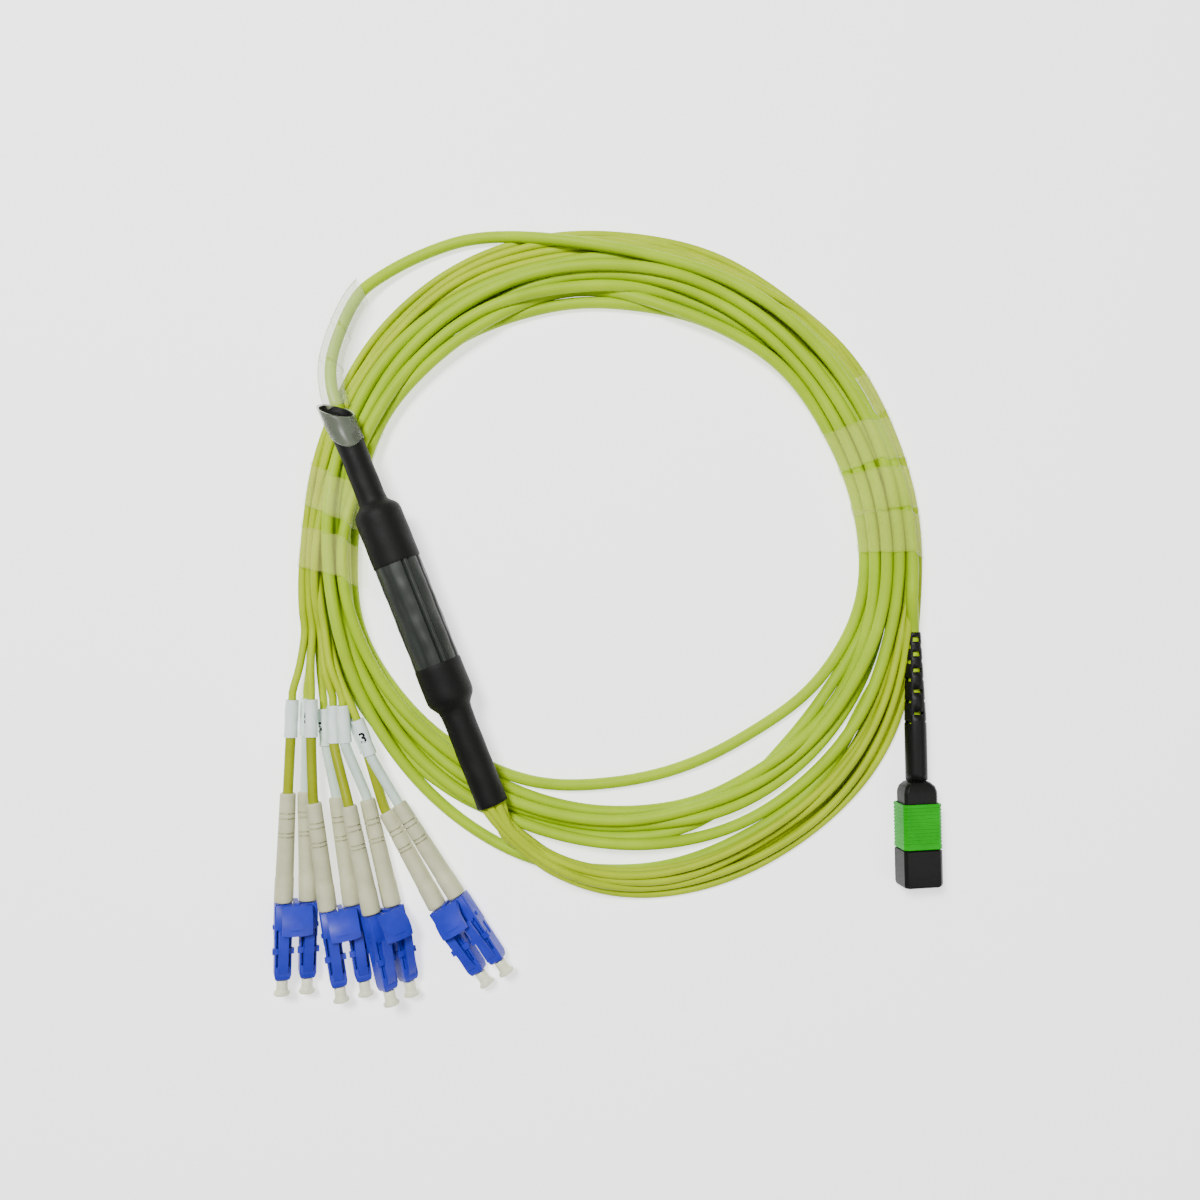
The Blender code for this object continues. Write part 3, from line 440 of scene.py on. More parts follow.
def finish_material(
    name, colour, other, roughness, grain, mottle, bump, specular, alpha, stretch
):
    """A moulded or extruded plastic: two close colours mottled by noise, with a fine grain in its
    roughness and its bump. Its coordinates are the object's own, in metres."""
    material = bpy.data.materials.new(f"{name}_look")
    material.use_nodes = True
    tree = material.node_tree
    shader = tree.nodes["Principled BSDF"]
    link = tree.links.new
    place = node(tree, "ShaderNodeTexCoord")
    scale = node(tree, "ShaderNodeMapping", Scale=(1.0, 1.0, stretch))
    link(place.outputs["Object"], scale.inputs["Vector"])
    blotch = node(tree, "ShaderNodeTexNoise", Scale=mottle, Detail=3.0, Roughness=0.6)
    fine = node(tree, "ShaderNodeTexNoise", Scale=grain, Detail=4.0, Roughness=0.65)
    for texture in (blotch, fine):
        link(scale.outputs["Vector"], texture.inputs["Vector"])
    ramp = node(tree, "ShaderNodeValToRGB")
    for stop, position, value in zip(ramp.color_ramp.elements, (0.3, 0.7), (other, colour)):
        stop.position = position
        stop.color = (*srgb(*value), 1.0)
    link(blotch.outputs["Fac"], ramp.inputs["Fac"])
    link(ramp.outputs["Color"], shader.inputs["Base Color"])
    rough = node(tree, "ShaderNodeMapRange", **dict(zip(("To Min", "To Max"), roughness)))
    link(fine.outputs["Fac"], rough.inputs["Value"])
    link(rough.outputs["Result"], shader.inputs["Roughness"])
    relief = node(tree, "ShaderNodeBump", Strength=bump, Distance=GRAIN_DEPTH)
    link(fine.outputs["Fac"], relief.inputs["Height"])
    link(relief.outputs["Normal"], shader.inputs["Normal"])
    shader.inputs["Specular IOR Level"].default_value = specular
    shader.inputs["Alpha"].default_value = alpha
    return material


# Each look: name, two colours, range of roughness, grain, mottle, bump and specular
LOOKS = {
    "trunk": ("trunk_jacket", (160, 192, 0), (145, 177, 0), (0.42, 0.58), 700.0, 60.0, 0.1, 0.15),
    "leg": ("leg_jacket", (168, 189, 0), (151, 173, 0), (0.44, 0.58), 800.0, 70.0, 0.1, 0.15),
    "shrink": ("shrink_tube", (13, 13, 11), (6, 6, 5), (0.5, 0.72), 1500.0, 90.0, 0.5, 0.2),
    "core": ("breakout_plastic", (46, 50, 46), (20, 23, 20), (0.3, 0.5), 900.0, 260.0, 0.35, 0.3),
    "wrap": ("clear_wrap", (255, 255, 150), (246, 250, 130), (0.3, 0.46), 500.0, 60.0, 0.12, 0.3),
    "lead_wrap": (
        "lead_wrap", (214, 228, 176), (196, 210, 158), (0.24, 0.4), 500.0, 60.0, 0.12, 0.4,
    ),
    "wrap_edge": (
        "wrap_edge", (232, 242, 220), (214, 226, 200), (0.3, 0.46), 500.0, 60.0, 0.12, 0.5,
    ),
    "mouth_wrap": (
        "mouth_wrap", (128, 136, 118), (104, 112, 96), (0.2, 0.36), 500.0, 60.0, 0.12, 0.5,
    ),
    "blue": ("connector_blue", (42, 50, 180), (30, 38, 160), (0.34, 0.5), 1100.0, 150.0, 0.12, 0.3),
    "boot": ("boot_grey", (194, 194, 158), (178, 178, 143), (0.45, 0.6), 1600.0, 200.0, 0.2, 0.3),
    "cap": ("cap_white", (232, 232, 200), (216, 216, 184), (0.35, 0.5), 1200.0, 200.0, 0.1, 0.4),
    "black": ("plug_black", (12, 12, 10), (6, 6, 5), (0.4, 0.58), 1300.0, 120.0, 0.25, 0.22),
    "green": ("sleeve_green", (0, 160, 8), (0, 144, 6), (0.4, 0.54), 1100.0, 150.0, 0.12, 0.15),
    "label": (
        "label_white", (226, 240, 232), (212, 226, 218), (0.4, 0.55), 900.0, 120.0, 0.12, 0.3,
    ),
    "olive": ("olive_tube", (148, 158, 0), (132, 142, 0), (0.36, 0.5), 900.0, 90.0, 0.1, 0.2),
    "pale": ("pale_tube", (214, 232, 218), (190, 210, 196), (0.26, 0.42), 900.0, 90.0, 0.1, 0.4),
    "ceramic": ("ceramic", (240, 240, 236), (230, 230, 226), (0.12, 0.2), 1500.0, 300.0, 0.05, 0.5),
    "ink": ("ink", (14, 14, 14), (7, 7, 7), (0.5, 0.65), 2000.0, 300.0, 0.1, 0.2),
}
ALPHAS = {"wrap": 0.09, "lead_wrap": 0.15, "wrap_edge": 0.6, "mouth_wrap": 0.4}
STRETCHES = {"core": 0.12}
MATERIALS = {
    key: finish_material(*look, ALPHAS.get(key, 1.0), STRETCHES.get(key, 1.0))
    for key, look in LOOKS.items()
}


# Pieces. Their meshes are in mm until they are placed.


def linked(name, data):
    obj = bpy.data.objects.new(name, data)
    bpy.context.scene.collection.objects.link(obj)
    return obj


def evaluated(obj):
    graph = bpy.context.evaluated_depsgraph_get()
    return bpy.data.meshes.new_from_object(obj.evaluated_get(graph))


def place_piece(
    name, mesh, look, matrix=None, replaces=(), body="cable", bevel=0.0, sharp=35.0,
    held=False,
):
    """Scales a mesh from mm to metres, gives it its look and lets it ride on its body. A held
    piece keeps its matrix, so its material runs along it. That of others goes into the mesh."""
    mesh.name = name
    mesh.transform(Matrix.Scale(MM, 4))
    mesh.materials.clear()
    mesh.materials.append(MATERIALS[look])
    mesh.polygons.foreach_set("use_smooth", [True] * len(mesh.polygons))
    obj = linked(name, mesh)
    if matrix is not None:
        placed = matrix.copy()
        placed.translation = matrix.translation * MM
        if held:
            obj.matrix_world = placed
        else:
            mesh.transform(placed)
    if bevel:
        step = obj.modifiers.new("edges", "BEVEL")
        step.width = bevel * MM
        step.segments = 2
        step.limit_method = "ANGLE"
        step.angle_limit = radians(40.0)
        step.harden_normals = True
    else:
        mesh.set_sharp_from_angle(angle=radians(sharp))
    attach(obj, body)
    if replaces:
        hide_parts(*replaces)
    return obj


def mesh_from(bm):
    bmesh.ops.recalc_face_normals(bm, faces=bm.faces)
    mesh = bpy.data.meshes.new("made")
    bm.to_mesh(mesh)
    bm.free()
    return mesh


def grid_mesh(rows, around=True, ends=False, skip=None):
    """A sheet through rows of equally many points, closed around or not. Skip leaves faces out."""
    bm = bmesh.new()
    rings = [[bm.verts.new(p) for p in row] for row in rows]
    count = len(rings[0])
    for k, (here, there) in enumerate(zip(rings, rings[1:])):
        for i in range(count if around else count - 1):
            if skip and skip(k, i):
                continue
            j = (i + 1) % count
            bm.faces.new((here[i], here[j], there[j], there[i]))
    if ends:
        bm.faces.new(rings[0])
        bm.faces.new(rings[-1])
    loose = [v for v in bm.verts if not v.link_faces]
    bmesh.ops.delete(bm, geom=loose, context="VERTS")
    return mesh_from(bm)


def lathe(profile, steps=40, dent=None, ends=True, skip=None):
    """A turned form: rows of (radius, height). A dent lowers the radius at (height, angle)."""
    rows = []
    for radius, height in profile:
        row = []
        for i in range(steps):
            turn = 2 * pi * i / steps
            rad = radius - (dent(height, turn) if dent else 0.0)
            row.append((rad * cos(turn), rad * sin(turn), height))
        rows.append(row)
    return grid_mesh(rows, ends=ends, skip=skip)


def prism(outline, low, high):
    """A prism along X through (up, along) points."""
    rows = [[(x, up, along) for up, along in outline] for x in (low, high)]
    return grid_mesh(rows, ends=True)


def chamfered(w, h, c, along):
    """An oblong of half width w and half height h with its corners cut off by c."""
    return [
        (w - c, -h, along), (w, -h + c, along), (w, h - c, along), (w - c, h, along),
        (-w + c, h, along), (-w, h - c, along), (-w, -h + c, along), (-w + c, -h, along),
    ]


def bar(width, height, chamfer, stations):
    """Rings of a bar along Z. Stations are (along, grow) with the sides moved out by grow."""
    return [
        chamfered(width / 2 + grow, height / 2 + grow, chamfer, along) for along, grow in stations
    ]


def carved(base, cutters, joined=()):
    """The base mesh with the cutters taken out and others joined on."""
    obj = linked("carving", base)
    helpers = [obj]
    for operation, tools in (("DIFFERENCE", cutters), ("UNION", joined)):
        for tool in tools:
            helper = linked("tool", tool)
            helpers.append(helper)
            step = obj.modifiers.new("step", "BOOLEAN")
            step.operation = operation
            step.object = helper
    mesh = evaluated(obj)
    for helper in helpers:
        bpy.data.objects.remove(helper)
    return mesh


def block(x0, x1, y0, y1, z0, z1):
    return prism(((y0, z0), (y0, z1), (y1, z1), (y1, z0)), x0, x1)


def thicken(obj, wall, offset=1.0, rim=None):
    """Gives a sheet its wall, with another look for its rim if one is named."""
    step = obj.modifiers.new("wall", "SOLIDIFY")
    if rim:
        obj.data.materials.append(MATERIALS[rim])
        step.material_offset_rim = 1
    step.thickness = wall * MM
    step.offset = offset


def tube_curve(name, points, diameter, look):
    """A round cord as a curve through points in mm."""
    curve = bpy.data.curves.new(name, "CURVE")
    curve.dimensions = "3D"
    curve.bevel_depth = diameter / 2 * MM
    curve.bevel_resolution = 6
    curve.use_fill_caps = True
    spline = curve.splines.new("POLY")
    spline.points.add(len(points) - 1)
    for spot, point in zip(spline.points, points):
        spot.co = (*(point * MM), 1.0)
    spline.use_smooth = True
    curve.materials.append(MATERIALS[look])
    obj = linked(name, curve)
    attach(obj, "cable")
    return obj


# Stage, lights and camera


def build_stage():
    bpy.ops.mesh.primitive_plane_add(size=6.0, location=(0.0, 0.0, 0.0))
    floor = bpy.context.object
    floor.name = "floor"
    look = bpy.data.materials.new("floor_look")
    look.use_nodes = True
    shader = look.node_tree.nodes["Principled BSDF"]
    shader.inputs["Base Color"].default_value = (0.93, 0.93, 0.93, 1.0)
    shader.inputs["Roughness"].default_value = 0.75
    shader.inputs["Emission Color"].default_value = (1.0, 1.0, 1.0, 1.0)
    shader.inputs["Emission Strength"].default_value = 1.3
    floor.data.materials.append(look)
    world = bpy.data.worlds.new("studio")
    world.use_nodes = True
    background = world.node_tree.nodes["Background"].inputs
    background["Color"].default_value = (1.0, 1.0, 1.0, 1.0)
    background["Strength"].default_value = 0.22
    bpy.context.scene.world = world
    for name, place, size, power in (
        ("key", (-0.22, 0.30, 0.75), 0.22, 11.0),
        ("fill", (0.45, -0.25, 0.70), 0.50, 2.2),
    ):
        light = bpy.data.lights.new(name, "AREA")
        light.size = size
        light.energy = power
        obj = linked(name, light)
        obj.location = place
        obj.rotation_euler = (-Vector(place)).to_track_quat("-Z", "Y").to_euler()
    camera = linked("camera", bpy.data.cameras.new("camera"))
    camera.location = CAMERA * MM
    camera.data.sensor_width = SENSOR
    camera.data.lens = SENSOR * CAMERA[2] / VIEW_WIDTH
    camera.data.clip_start = 0.01
    camera.data.clip_end = 20.0
    bpy.context.scene.camera = camera


# Cables


def strand_points(strand):
    angles, radii, heights = strand
    return [on_coil(r, a, z) for a, r, z in zip(angles, radii, heights)]


def above_floor(route, diameter):
    """Points of a smooth cord along the route, none of them lower than a cord on the floor."""
    return [Vector((p.x, p.y, max(p.z, diameter / 2))) for p in smooth_points(route, 2.0)]


def build_trunk(strands):
    """The trunk from inside the breakout body, round the coil, into the plug's boot."""
    entry = ((27.0, 0.0), (17.0, -0.9), (9.0, -2.3), (0.8, -3.25))
    inside = [MOUTH + AXIS * d + UP * up for d, up in entry]
    coil = strand_points(strands["trunk"])
    axis = plug_matrix().col[2].xyz
    tail = [PLUG_START + axis * d for d in (0.0, 8.0, 20.0, 36.0)]
    points = above_floor([*inside, *[Vector(p) for p in LEAD_ROUTE], *coil, *tail], TRUNK_D)
    obj = tube_curve("trunk", points, TRUNK_D, "trunk")
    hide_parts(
        "trunk_turn_inner", "trunk_turns_middle", "trunk_and_leg_turns_outer",
        "trunk_lead", "plug_lead",
    )
    return obj, points


def fanned(strand, exit_height):
    """A leg's strand that comes down smoothly from the height of its exit. What is raised moves
    inward too, so that the camera sees it about where it was."""
    angles, radii, heights = strand
    share = np.clip((FAN_END - angles) / (FAN_END - FAN_START), 0.0, 1.0)
    raised = (exit_height - heights) * share * share * (3.0 - 2.0 * share)
    inward = (radii + (COIL_CENTRE - CAMERA[:2])[1] * np.sin(np.radians(angles))) / CAMERA[2]
    return angles, radii - inward * raised, heights + raised


def build_leg(leg, strands):
    """One leg from the breakout body round the coil, through its label, to its boot."""
    place = frame_matrix(LOWER_END, AXIS, UP)
    start = [place @ Vector((*EXITS[leg], d)) for d in (-8.0, 0.0)]
    strand = fanned(strands[leg], start[1].z)
    descent, top, low, _ = LEGS[leg]
    top, low = Vector(top), Vector(low)
    along = (low - top).normalized()
    boot = boot_matrix(leg)
    axis = boot.col[2].xyz
    seat = boot.translation - axis * (BOOT_LENGTH - 1.0)
    route = [
        *start, *strand_points(strand), *[Vector(p) for p in descent],
        top - along * 2.0, top, low, low + along * 0.6, seat - axis * 1.5, seat,
    ]
    points = above_floor(route, LEG_D)
    obj = tube_curve(f"leg_{leg}_cord", points, LEG_D, "leg")
    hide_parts(f"leg_{leg}", *(["leg_fan"] if leg == "1a" else []))
    route = [low - along * 0.6, low + along * 0.6, seat - axis * 1.5, seat]
    look = "olive" if leg in OLIVE_TUBES else "pale"
    sleeve = tube_curve(f"leg_{leg}_sleeve", smooth_points(route, 1.5), TUBE_D, look)
    return obj, points, sleeve


def build_label(leg):
    """A label's sleeve, a little out of round, and the numeral printed round it."""
    _, top, low, _ = LEGS[leg]
    top, low = Vector(top), Vector(low)
    along = (low - top).normalized()
    place = frame_matrix((top + low) / 2, along, UP)
    half = LABEL_HALF

    def squash(height, turn):
        return 0.05 * sin(2 * turn + height) + 0.03 * sin(5 * turn + 1.7 * height)

    steps = [half * (i / 6 - 1) for i in range(13)]
    profile = [
        (LABEL_BORE, -half), (1.60, -half), (LABEL_RADIUS, -half + 0.05),
        *[(LABEL_RADIUS, h) for h in steps[1:-1]],
        (LABEL_RADIUS, half - 0.05), (1.60, half), (LABEL_BORE, half),
    ]
    obj = place_piece(
        f"label_{leg}_sleeve", lathe(profile, 32, squash, ends=False), "label", place,
        (f"label_{leg}",), sharp=50.0,
    )
    thicken(obj, THIN, -1.0)
    text, spin = NUMERALS[leg]
    font = bpy.data.curves.new("numeral", "FONT")
    font.body = text
    font.size = NUMERAL_SIZE
    font.offset = 0.09
    font.align_x = font.align_y = "CENTER"
    helper = linked("numeral", font)
    mesh = evaluated(helper)
    bpy.data.objects.remove(helper)
    for vertex in mesh.vertices:
        x, y, _ = vertex.co
        turn = pi / 2 - radians(spin) - x / 1.75
        vertex.co = Vector((NUMERAL_RADIUS * cos(turn), NUMERAL_RADIUS * sin(turn), -y))
    mark = place_piece(f"label_{leg}_numeral", mesh, "ink", place)
    thicken(mark, THIN)
    return [obj, mark]


# Spiral wraps


def outlines(sections):
    """The bundle's outline at each station, by the direction that its surface faces."""
    facing = np.radians(np.arange(0, 360, FACING_STEP))
    normal = np.stack([np.cos(facing), np.sin(facing)], 1)
    found = []
    for r, z, thick in sections:
        reach = r[:, None] * normal[:, 0] + z[:, None] * normal[:, 1] + thick[:, None]
        best = reach.argmax(0)
        out = thick[best] + WRAP_CLEARANCE
        found.append(np.stack([r[best] + out * normal[:, 0], z[best] + out * normal[:, 1]], 1))
    return np.array(found)


def outline_point(around, angle, facing):
    """A point on the bundle's outline at any angle and direction."""
    count, sides = around.shape[:2]
    a = (angle % 360) / STATION
    f = (facing % 360) / (360 / sides)
    a0, f0 = int(a) % count, int(f) % sides
    sa, sf = a - int(a), f - int(f)
    a1, f1 = (a0 + 1) % count, (f0 + 1) % sides
    near = around[a0, f0] * (1 - sf) + around[a0, f1] * sf
    far = around[a1, f0] * (1 - sf) + around[a1, f1] * sf
    return near * (1 - sa) + far * sa


def build_coil_wrap(name, node_name, around, knots, direction, width, flap=None):
    """A helical strip round the bundle. Whole turns of its knots are on the side where it starts,
    which is the outer side for a direction of 1 and the inner for -1."""
    knots = np.array(knots)
    turns = np.arange(knots[0, 0], knots[-1, 0] + 1e-6, 1 / 48)

    def facing(turn):
        return 360 * turn if direction > 0 else 180 - 360 * turn

    rows = []
    for turn in turns:
        middle = np.interp(turn, knots[:, 0], knots[:, 1])
        row = []
        for share in np.linspace(-0.5, 0.5, 9):
            first = middle + share * width / MEAN_RADIUS * DEGREES_PER_RADIAN
            r, z = outline_point(around, first, facing(turn))
            angle = middle + share * width / max(r, 1.0) * DEGREES_PER_RADIAN
            r, z = outline_point(around, angle, facing(turn))
            if flap and turn > flap[0]:
                loose = (turn - flap[0]) / (turns[-1] - flap[0])
                hold_r, hold_z = outline_point(around, angle, facing(flap[0]))
                r, z = hold_r + flap[1] * loose, hold_z + flap[2] * loose
            row.append(on_coil(r, angle, max(z, 0.35)))
        rows.append(row)
    obj = place_piece(
        name, grid_mesh(rows, around=False), "wrap", None, (node_name,),
        sharp=80,
    )
    thicken(obj, WRAP_WALL, 1.0, "wrap_edge")
    return obj


def build_lead_wrap(points):
    """The clear spiral tube round the lead: short helical turns with thin gaps between them."""
    origin = MOUTH - AXIS * 1.5
    start = min(range(len(points)), key=lambda i: (points[i] - origin).length)
    route = points[start:start + 40]
    lengths = np.concatenate([[0], np.cumsum([(b - a).length for a, b in zip(route, route[1:])])])
    places = np.array([list(p) for p in route])

    def at(distance):
        return Vector([np.interp(distance, lengths, places[:, k]) for k in range(3)])

    sides = 28
    bm = bmesh.new()
    for low, high in LEAD_WRAP_TURNS:
        rows = []
        for share in np.linspace(0.0, 1.0, 12):
            row = []
            for i in range(sides + 1):
                turn = 2 * pi * i / sides
                tilt = 1.4 * cos(turn) + 0.5 * sin(turn)
                middle = low + (high - low) * share + (tilt if low + share > 0.5 else 0.0)
                middle = max(middle, 0.0)
                ahead = at(middle + 1.0) - at(max(middle - 1.0, 0.0))
                place = frame_matrix(at(middle), ahead, UP)
                x, y = LEAD_WRAP_RADIUS * cos(turn), LEAD_WRAP_RADIUS * sin(turn)
                row.append(bm.verts.new(place @ Vector((x, y, 0.0))))
            rows.append(row)
        for here, there in zip(rows, rows[1:]):
            for i in range(sides):
                bm.faces.new((here[i], here[i + 1], there[i + 1], there[i]))
    obj = place_piece(
        "wrap_lead_spiral", mesh_from(bm), "lead_wrap", None, ("wrap_lead",),
        sharp=80,
    )
    thicken(obj, WRAP_WALL, 1.0, "wrap_edge")


# Breakout body


def uneven(height, turn):
    """How far heat-shrink tube sinks at a place."""
    return (
        0.025 * sin(3 * turn + 0.9 * height)
        + 0.03 * sin(2 * turn - 0.35 * height)
        + 0.015 * sin(7 * turn + 0.5 * height)
    )


def with_rings(profile, step=0.8):
    """The profile with extra rings on its long stretches."""
    out = [profile[0]]
    for a, b in zip(profile, profile[1:]):
        parts = max(1, round(abs(b[1] - a[1]) / step))
        out += [
            (a[0] + (b[0] - a[0]) * k / parts, a[1] + (b[1] - a[1]) * k / parts)
            for k in range(1, parts + 1)
        ]
    return out


def upper_tube():
    """The upper shrink tube, whose mouth is squeezed oval, cut at a slant and closed a little way
    in by a black disc, painted shade for its shadowed inside.
    """
    rows = []
    for radius, height in with_rings(UPPER_TUBE):
        mouth = max(0.0, 1.0 - height / MOUTH_REACH)
        row = []
        for i in range(SHRINK_SIDES):
            turn = 2 * pi * i / SHRINK_SIDES
            rad = radius - uneven(height, turn)
            slope = mouth * (2.2 * cos(turn) + 1.6 * sin(turn)) * radius / 3.5
            deep = 1.0 - 0.26 * mouth
            up = rad * deep * sin(turn) + 0.75 * mouth
            row.append((rad * cos(turn) - 0.35 * mouth, up, height + slope))
        rows.append(row)
    return grid_mesh(rows)


def core_dent(height, turn):
    """How far the core's grooves and its slight waves lower its surface."""
    angle = math.degrees(turn)
    dent = 0.03 * sin(1.3 * height) - 0.05 * sin(0.5 * height + 0.1 * angle)
    for middle, depth, half in CORE_GROOVES:
        off = min(1.0, abs((angle - middle + 180) % 360 - 180) / half)
        dent += depth * (1 - off * off) ** 2
    return dent


def mouth_wrap():
    """The clear wrap over the mouth: an oblique rim, and a pointed edge down the tube."""
    rows = []
    for share in np.linspace(0.0, 1.0, 14):
        row = []
        for i in range(49):
            turn = 2 * pi * i / 48 - pi / 2
            start = -0.25 + 2.6 * cos(turn) + 1.9 * sin(turn)
            peak = max(0.0, sin(turn))
            end = 7.0 + 1.5 * cos(turn) + 3.0 * peak * peak
            height = start + (end - start) * share
            rad = 4.15 - 0.12 * share
            rad += 0.05 * sin(4 * turn + height)
            across = rad * cos(turn) - 0.45 + 0.25 * share
            row.append((across, rad * 0.98 * sin(turn), height))
        rows.append(row)
    return grid_mesh(rows, around=False)


def build_breakout():
    place = frame_matrix(MOUTH, AXIS, UP)
    place_piece(
        "breakout_upper_tube", upper_tube(), "shrink", place,
        ("breakout_shrink_upper",), sharp=60,
    )
    lower = lathe(with_rings(LOWER_TUBE), SHRINK_SIDES, uneven, ends=False)
    place_piece(
        "breakout_lower_tube", lower, "shrink", place,
        ("breakout_shrink_lower",), sharp=60,
    )
    core = lathe([(CORE_RADIUS, h) for h in np.linspace(30.0, 77.0, 48)], 144, core_dent)
    place_piece(
        "breakout_ribbed_core", core, "core", place, ("breakout_core",),
        sharp=60, held=True,
    )
    obj = place_piece(
        "wrap_mouth", mouth_wrap(), "mouth_wrap", place, (), sharp=80
    )
    thicken(obj, 0.3, -1.0, "wrap_edge")


# Duplex connectors


def latch_outline():
    """The latch from the side: hinged near the front, its free end up over the rear."""
    half = BODY_SIDE / 2
    root = BODY_LENGTH - 1.5
    return (
        (half - 0.6, root), (half + 0.15, root - 0.3), (half + 0.62, root - 1.3),
        (half + 1.0, root - 2.4), (half + 1.75, root - 7.2), (half + 2.35, root - 11.4),
        (half + 1.75, root - 11.8), (half + 1.15, root - 7.4), (half + 0.45, root - 3.3),
        (half - 0.6, root - 2.9),
    )


def connector_body():
    half = BODY_SIDE / 2
    stations = (
        (0.0, -0.12), (0.15, 0.0), (8.4, 0.0), (8.7, -0.12), (17.9, -0.12),
        (BODY_LENGTH - 0.35, -0.35), (BODY_LENGTH, -0.55),
    )
    base = grid_mesh(bar(BODY_SIDE, BODY_SIDE, 0.28, stations), ends=True)
    # Slits beside the latch, windows in the sides, hollows under the latch, the underside's
    # recess, and the ferrule's bore
    cutters = []
    for side in (-1, 1):
        lo, hi = sorted((side * 1.28, side * 1.72))
        cutters.append(block(lo, hi, half - 1.1, half + 1.0, 6.4, 15.8))
        lo, hi = sorted((side * (half - 0.4), side * (half + 0.6)))
        cutters.append(block(lo, hi, -0.9, 0.5, 8.9, 12.2))
        lo, hi = sorted((side * 0.2, side * 1.28))
        cutters.append(block(lo, hi, half - 0.5, half + 1.0, 7.0, 13.6))
    cutters.append(block(-1.0, 1.0, -half - 0.5, -half + 0.35, 9.6, 14.6))
    cutters.append(lathe([(1.05, BODY_LENGTH - 2.4), (1.05, BODY_LENGTH + 1.0)], 24))
    latch = prism(latch_outline(), -1.2, 1.2)
    ears = block(-2.7, 2.7, half - 1.0, half + 0.1, 11.0, 12.5)
    heels = block(-2.62, 2.62, -0.4, 0.9, 5.4, 6.4)
    return carved(base, cutters, (latch, ears, heels))


def clip_body():
    """The duplex clip's web between two connectors, and the curved trigger plate over both."""
    half = BODY_SIDE / 2
    web = prism(((-half, -0.5), (-half, 7.2), (half + 0.8, 7.2), (half + 0.8, -0.5)), -0.58, 0.58)
    top = half + 0.3
    profile = (
        (top, 0.0), (top, 1.2), (top + 1.0, 1.9), (top + 2.2, 3.4), (top + 2.85, 5.6),
        (top + 3.1, 7.7), (top + 3.35, 8.0), (top + 4.05, 7.8), (top + 3.85, 5.6),
        (top + 3.2, 3.3), (top + 1.9, 1.2), (top + 1.05, 0.0),
    )
    rows = []
    for share in np.linspace(-1.0, 1.0, 13):
        x = 3.75 * share
        sag = 0.55 * share * share
        pinch = 0.25 * abs(share) ** 3
        rows.append([
            (x, up - sag * along / 8.0, 0.91 * along - pinch * (along / 4.0 - 1.0))
            for up, along in profile
        ])
    plate = grid_mesh(rows, ends=True)
    grips = [
        block(-3.0, 3.0, top + 3.75, top + 5.0, 4.6 + 0.9 * k, 4.85 + 0.9 * k) for k in range(2)
    ]
    return carved(web, (), (carved(plate, grips),))


def boot_body():
    def dent(height, turn):
        back = height + BOOT_LENGTH
        in_groove = min(abs(back - g) for g in BOOT_GROOVES) < 0.14
        return 0.42 if in_groove and 0.10 < abs(cos(turn)) < 0.985 else 0.0

    heights = {0.0, -0.25, -0.6, -6.0, -6.2, -BOOT_LENGTH, -BOOT_LENGTH + 0.15, -BOOT_LENGTH + 0.5}
    for g in BOOT_GROOVES:
        for off in (-0.2, -0.13, 0.13, 0.2):
            heights.add(g - BOOT_LENGTH + off)
    heights |= {-float(k) for k in range(8, 27, 2)}
    profile = [(1.42, -BOOT_LENGTH)]
    for height in sorted(heights):
        radius = np.interp(height + BOOT_LENGTH, BOOT_STEPS, BOOT_RADII)
        profile.append((float(radius), height))
    profile.append((1.0, 0.0))
    return lathe(profile, 48, dent)


def cap_body():
    start = BODY_LENGTH + FIT
    end = start + 3.8
    profile = [
        (0.93, start + 2.6), (0.93, start + 0.1), (1.02, start), (1.36, start),
        (1.45, start + 0.12), (1.43, end - 1.9), (1.50, end - 1.3), (1.72, end - 0.9),
        (2.0, end - 0.72), (2.06, end - 0.55), (2.05, end - 0.2), (1.92, end), (1.5, end),
        (1.35, end - 0.12),
    ]
    return lathe(profile, 40)


def build_connectors():
    body = connector_body()
    clip = clip_body()
    boot = boot_body()
    cap = cap_body()
    tip = BODY_LENGTH + 2.6
    ferrule = lathe([(0.625, BODY_LENGTH - 2.0), (0.625, BODY_LENGTH + 2.3), (0.5, tip)], 24)
    for duplex in DUPLEXES:
        place_piece(
            f"lc_{duplex}_trigger", clip.copy(), "blue", duplex_matrix(duplex),
            (f"lc_{duplex}_clip",), bevel=0.12,
        )
    for leg in LEGS:
        place = connector_matrix(leg)
        place_piece(f"lc_{leg}_housing", body.copy(), "blue", place,
                    (f"lc_{leg}_body",), bevel=0.09)
        place_piece(f"lc_{leg}_ferrule", ferrule.copy(), "ceramic", place)
        place_piece(f"lc_{leg}_strain_boot", boot.copy(), "boot", boot_matrix(leg),
                    (f"lc_{leg}_boot",), sharp=42)
        place_piece(f"lc_{leg}_dust_cap", cap.copy(), "cap", place,
                    (f"lc_{leg}_cap",), f"lc_{leg}_cap_body", sharp=50)


# Multi-fibre plug


def plug_matrix():
    return lying_matrix(PLUG_START, PLUG_HEADING, PLUG_ROLL)


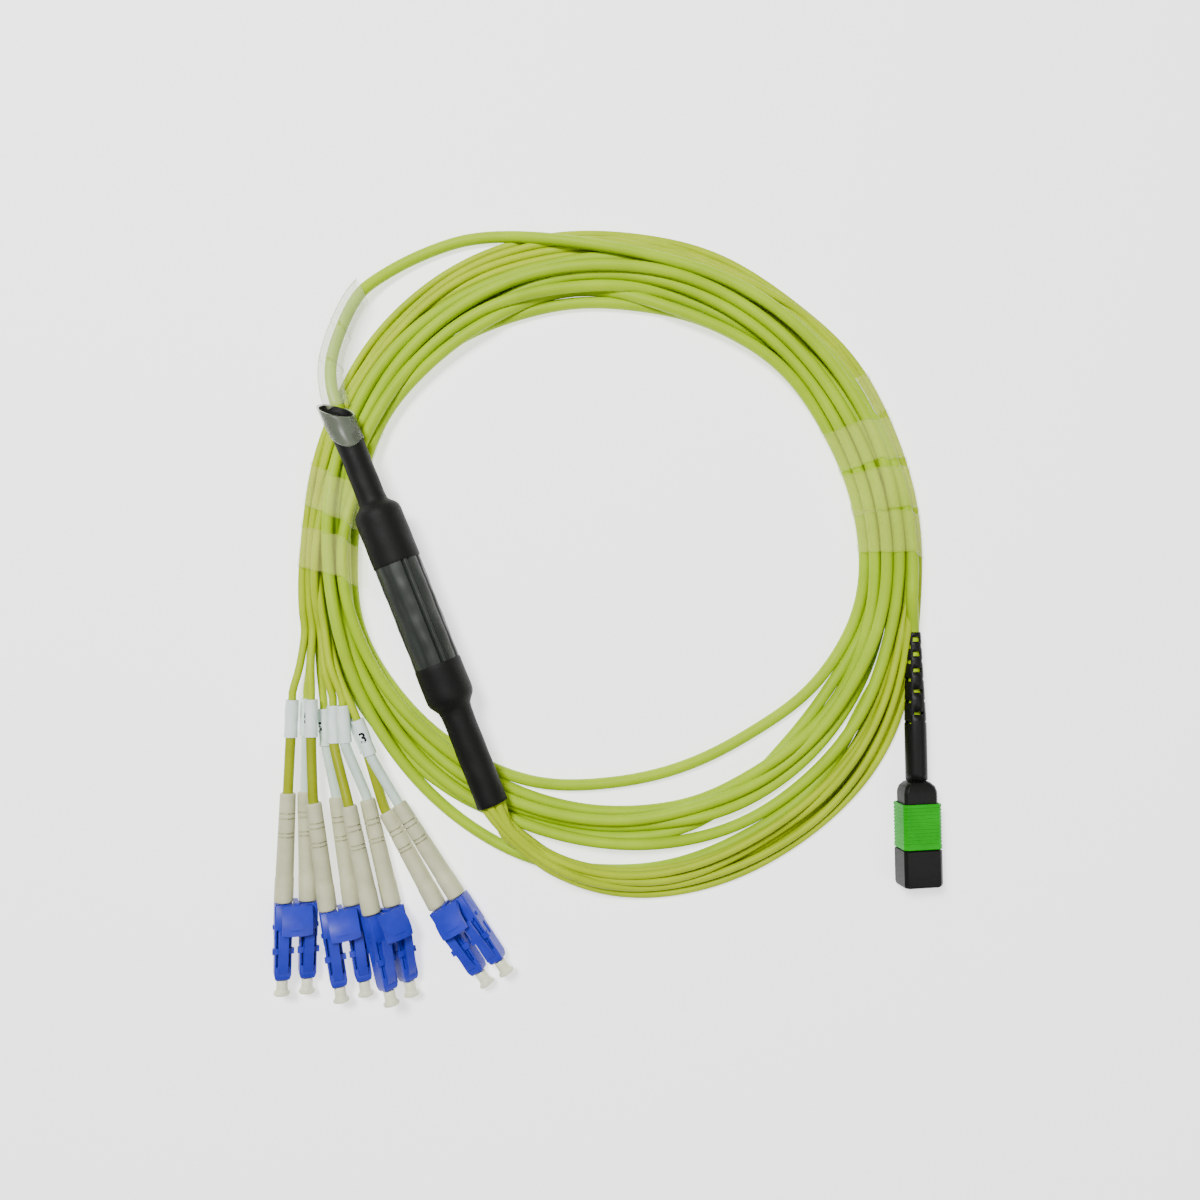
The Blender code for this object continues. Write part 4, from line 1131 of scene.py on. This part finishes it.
def plug_boot():
    """The plug's boot: a sheet with slots above and below and notches at its sides."""
    slots = ((1.2, 2.4), (4.9, 6.1), (9.1, 10.1), (14.5, 15.3), (20.2, 20.9))
    notches = ((3.1, 4.2), (7.0, 8.0), (11.6, 12.5), (17.2, 18.0), (22.6, 23.3))
    cuts = [e for pair in (*slots, *notches) for e in pair]
    edges = sorted({0.0, 0.25, 26.0, 30.0, 36.0, 37.7, *cuts})
    count = 48
    radii = np.interp(edges, [0.0, 0.25, 23.6, 37.7], [1.72, 1.87, 2.8, 2.8])

    def cut(k, i):
        middle = (edges[k] + edges[k + 1]) / 2
        turn = 360.0 * (i + 0.5) / count
        if any(a < middle < b for a, b in slots):
            return min(abs(turn - 90), abs(turn - 270)) < 28
        if any(a < middle < b for a, b in notches):
            return min(abs(turn - 180), turn, 360 - turn) < 48
        return False

    return lathe(list(zip(radii, edges)), count, ends=False, skip=cut)


def plug_housing():
    """The inner housing, with sloping shoulders towards the boot."""
    start = 38.0
    shoulder = [
        chamfered(4.4 + grow, max(3.2 + grow * 0.45, 2.2), 0.7, start + along)
        for along, grow in ((0.0, -2.2), (0.25, -1.6), (1.3, -0.45), (2.4, -0.08))
    ]
    straight = ((start + 3.0, 0.0), (start + 23.2, 0.0), (start + 23.5, -0.25))
    return grid_mesh([*shoulder, *bar(8.8, 6.4, 0.7, straight)], ends=True)


def plug_sleeve():
    """The push-pull sleeve: a ring with ribs across it."""
    low, high = 43.6, 55.1
    ribs = 11
    pitch = (high - low - 1.6) / ribs
    stations = [(low, -0.12), (low + 0.15, 0.0), (low + 0.5, 0.0)]
    for k in range(ribs):
        at = low + 0.8 + k * pitch
        stations += [(at, 0.0), (at + 0.12, -0.13), (at + 0.40, -0.13), (at + 0.52, 0.0)]
    stations += [(high - 0.5, 0.0), (high - 0.15, 0.0), (high, -0.12), (high, -0.4), (low, -0.4)]
    bm = bmesh.new()
    rings = [[bm.verts.new(p) for p in row] for row in bar(10.2, 7.8, 0.75, stations)]
    for here, there in zip(rings, rings[1:] + rings[:1]):
        for i in range(8):
            bm.faces.new((here[i], here[(i + 1) % 8], there[(i + 1) % 8], there[i]))
    return mesh_from(bm)


def plug_cap():
    """The plug's dust cap, with its hollow for the housing."""
    start, end = 55.4, 64.85
    hollow = bar(9.4, 7.0, 0.7, [(end - 3.0, 0.0), (start, 0.0)])
    outside = (
        (start, -0.1), (start + 0.12, 0.0), (end - 0.9, 0.0), (end - 0.25, -0.2), (end, -0.5),
    )
    return grid_mesh([*hollow, *bar(10.2, 7.8, 0.8, outside)], ends=True)


def build_plug():
    place = plug_matrix()
    boot = place_piece("plug_strain_boot", plug_boot(), "black", place,
                       ("plug_boot",), sharp=50)
    thicken(boot, 0.33, -1.0)
    place_piece("plug_inner_housing", plug_housing(), "black", place,
                ("plug_housing",), bevel=0.15)
    place_piece("plug_green_sleeve", plug_sleeve(), "green", place,
                ("plug_sleeve",), "plug_sleeve_body", sharp=25)
    place_piece("plug_dust_cap", plug_cap(), "black", place,
                ("plug_cap",), "plug_cap_body", sharp=30)


build_stage()
strands, sections = lay_strands()
trunk, trunk_points = build_trunk(strands)
for leg in LEGS:
    obj, points, sleeve = build_leg(leg, strands)
    build_label(leg)
build_breakout()
around = outlines(sections)
build_coil_wrap(
    "wrap_left_spiral", "wrap_left", around, LEFT_WRAP_KNOTS, 1, LEFT_WRAP_WIDTH, LEFT_WRAP_FLAP
)
build_coil_wrap(
    "wrap_right_spiral", "wrap_right", around, RIGHT_WRAP_KNOTS, -1, RIGHT_WRAP_WIDTH
)
build_lead_wrap(trunk_points)
build_connectors()
build_plug()
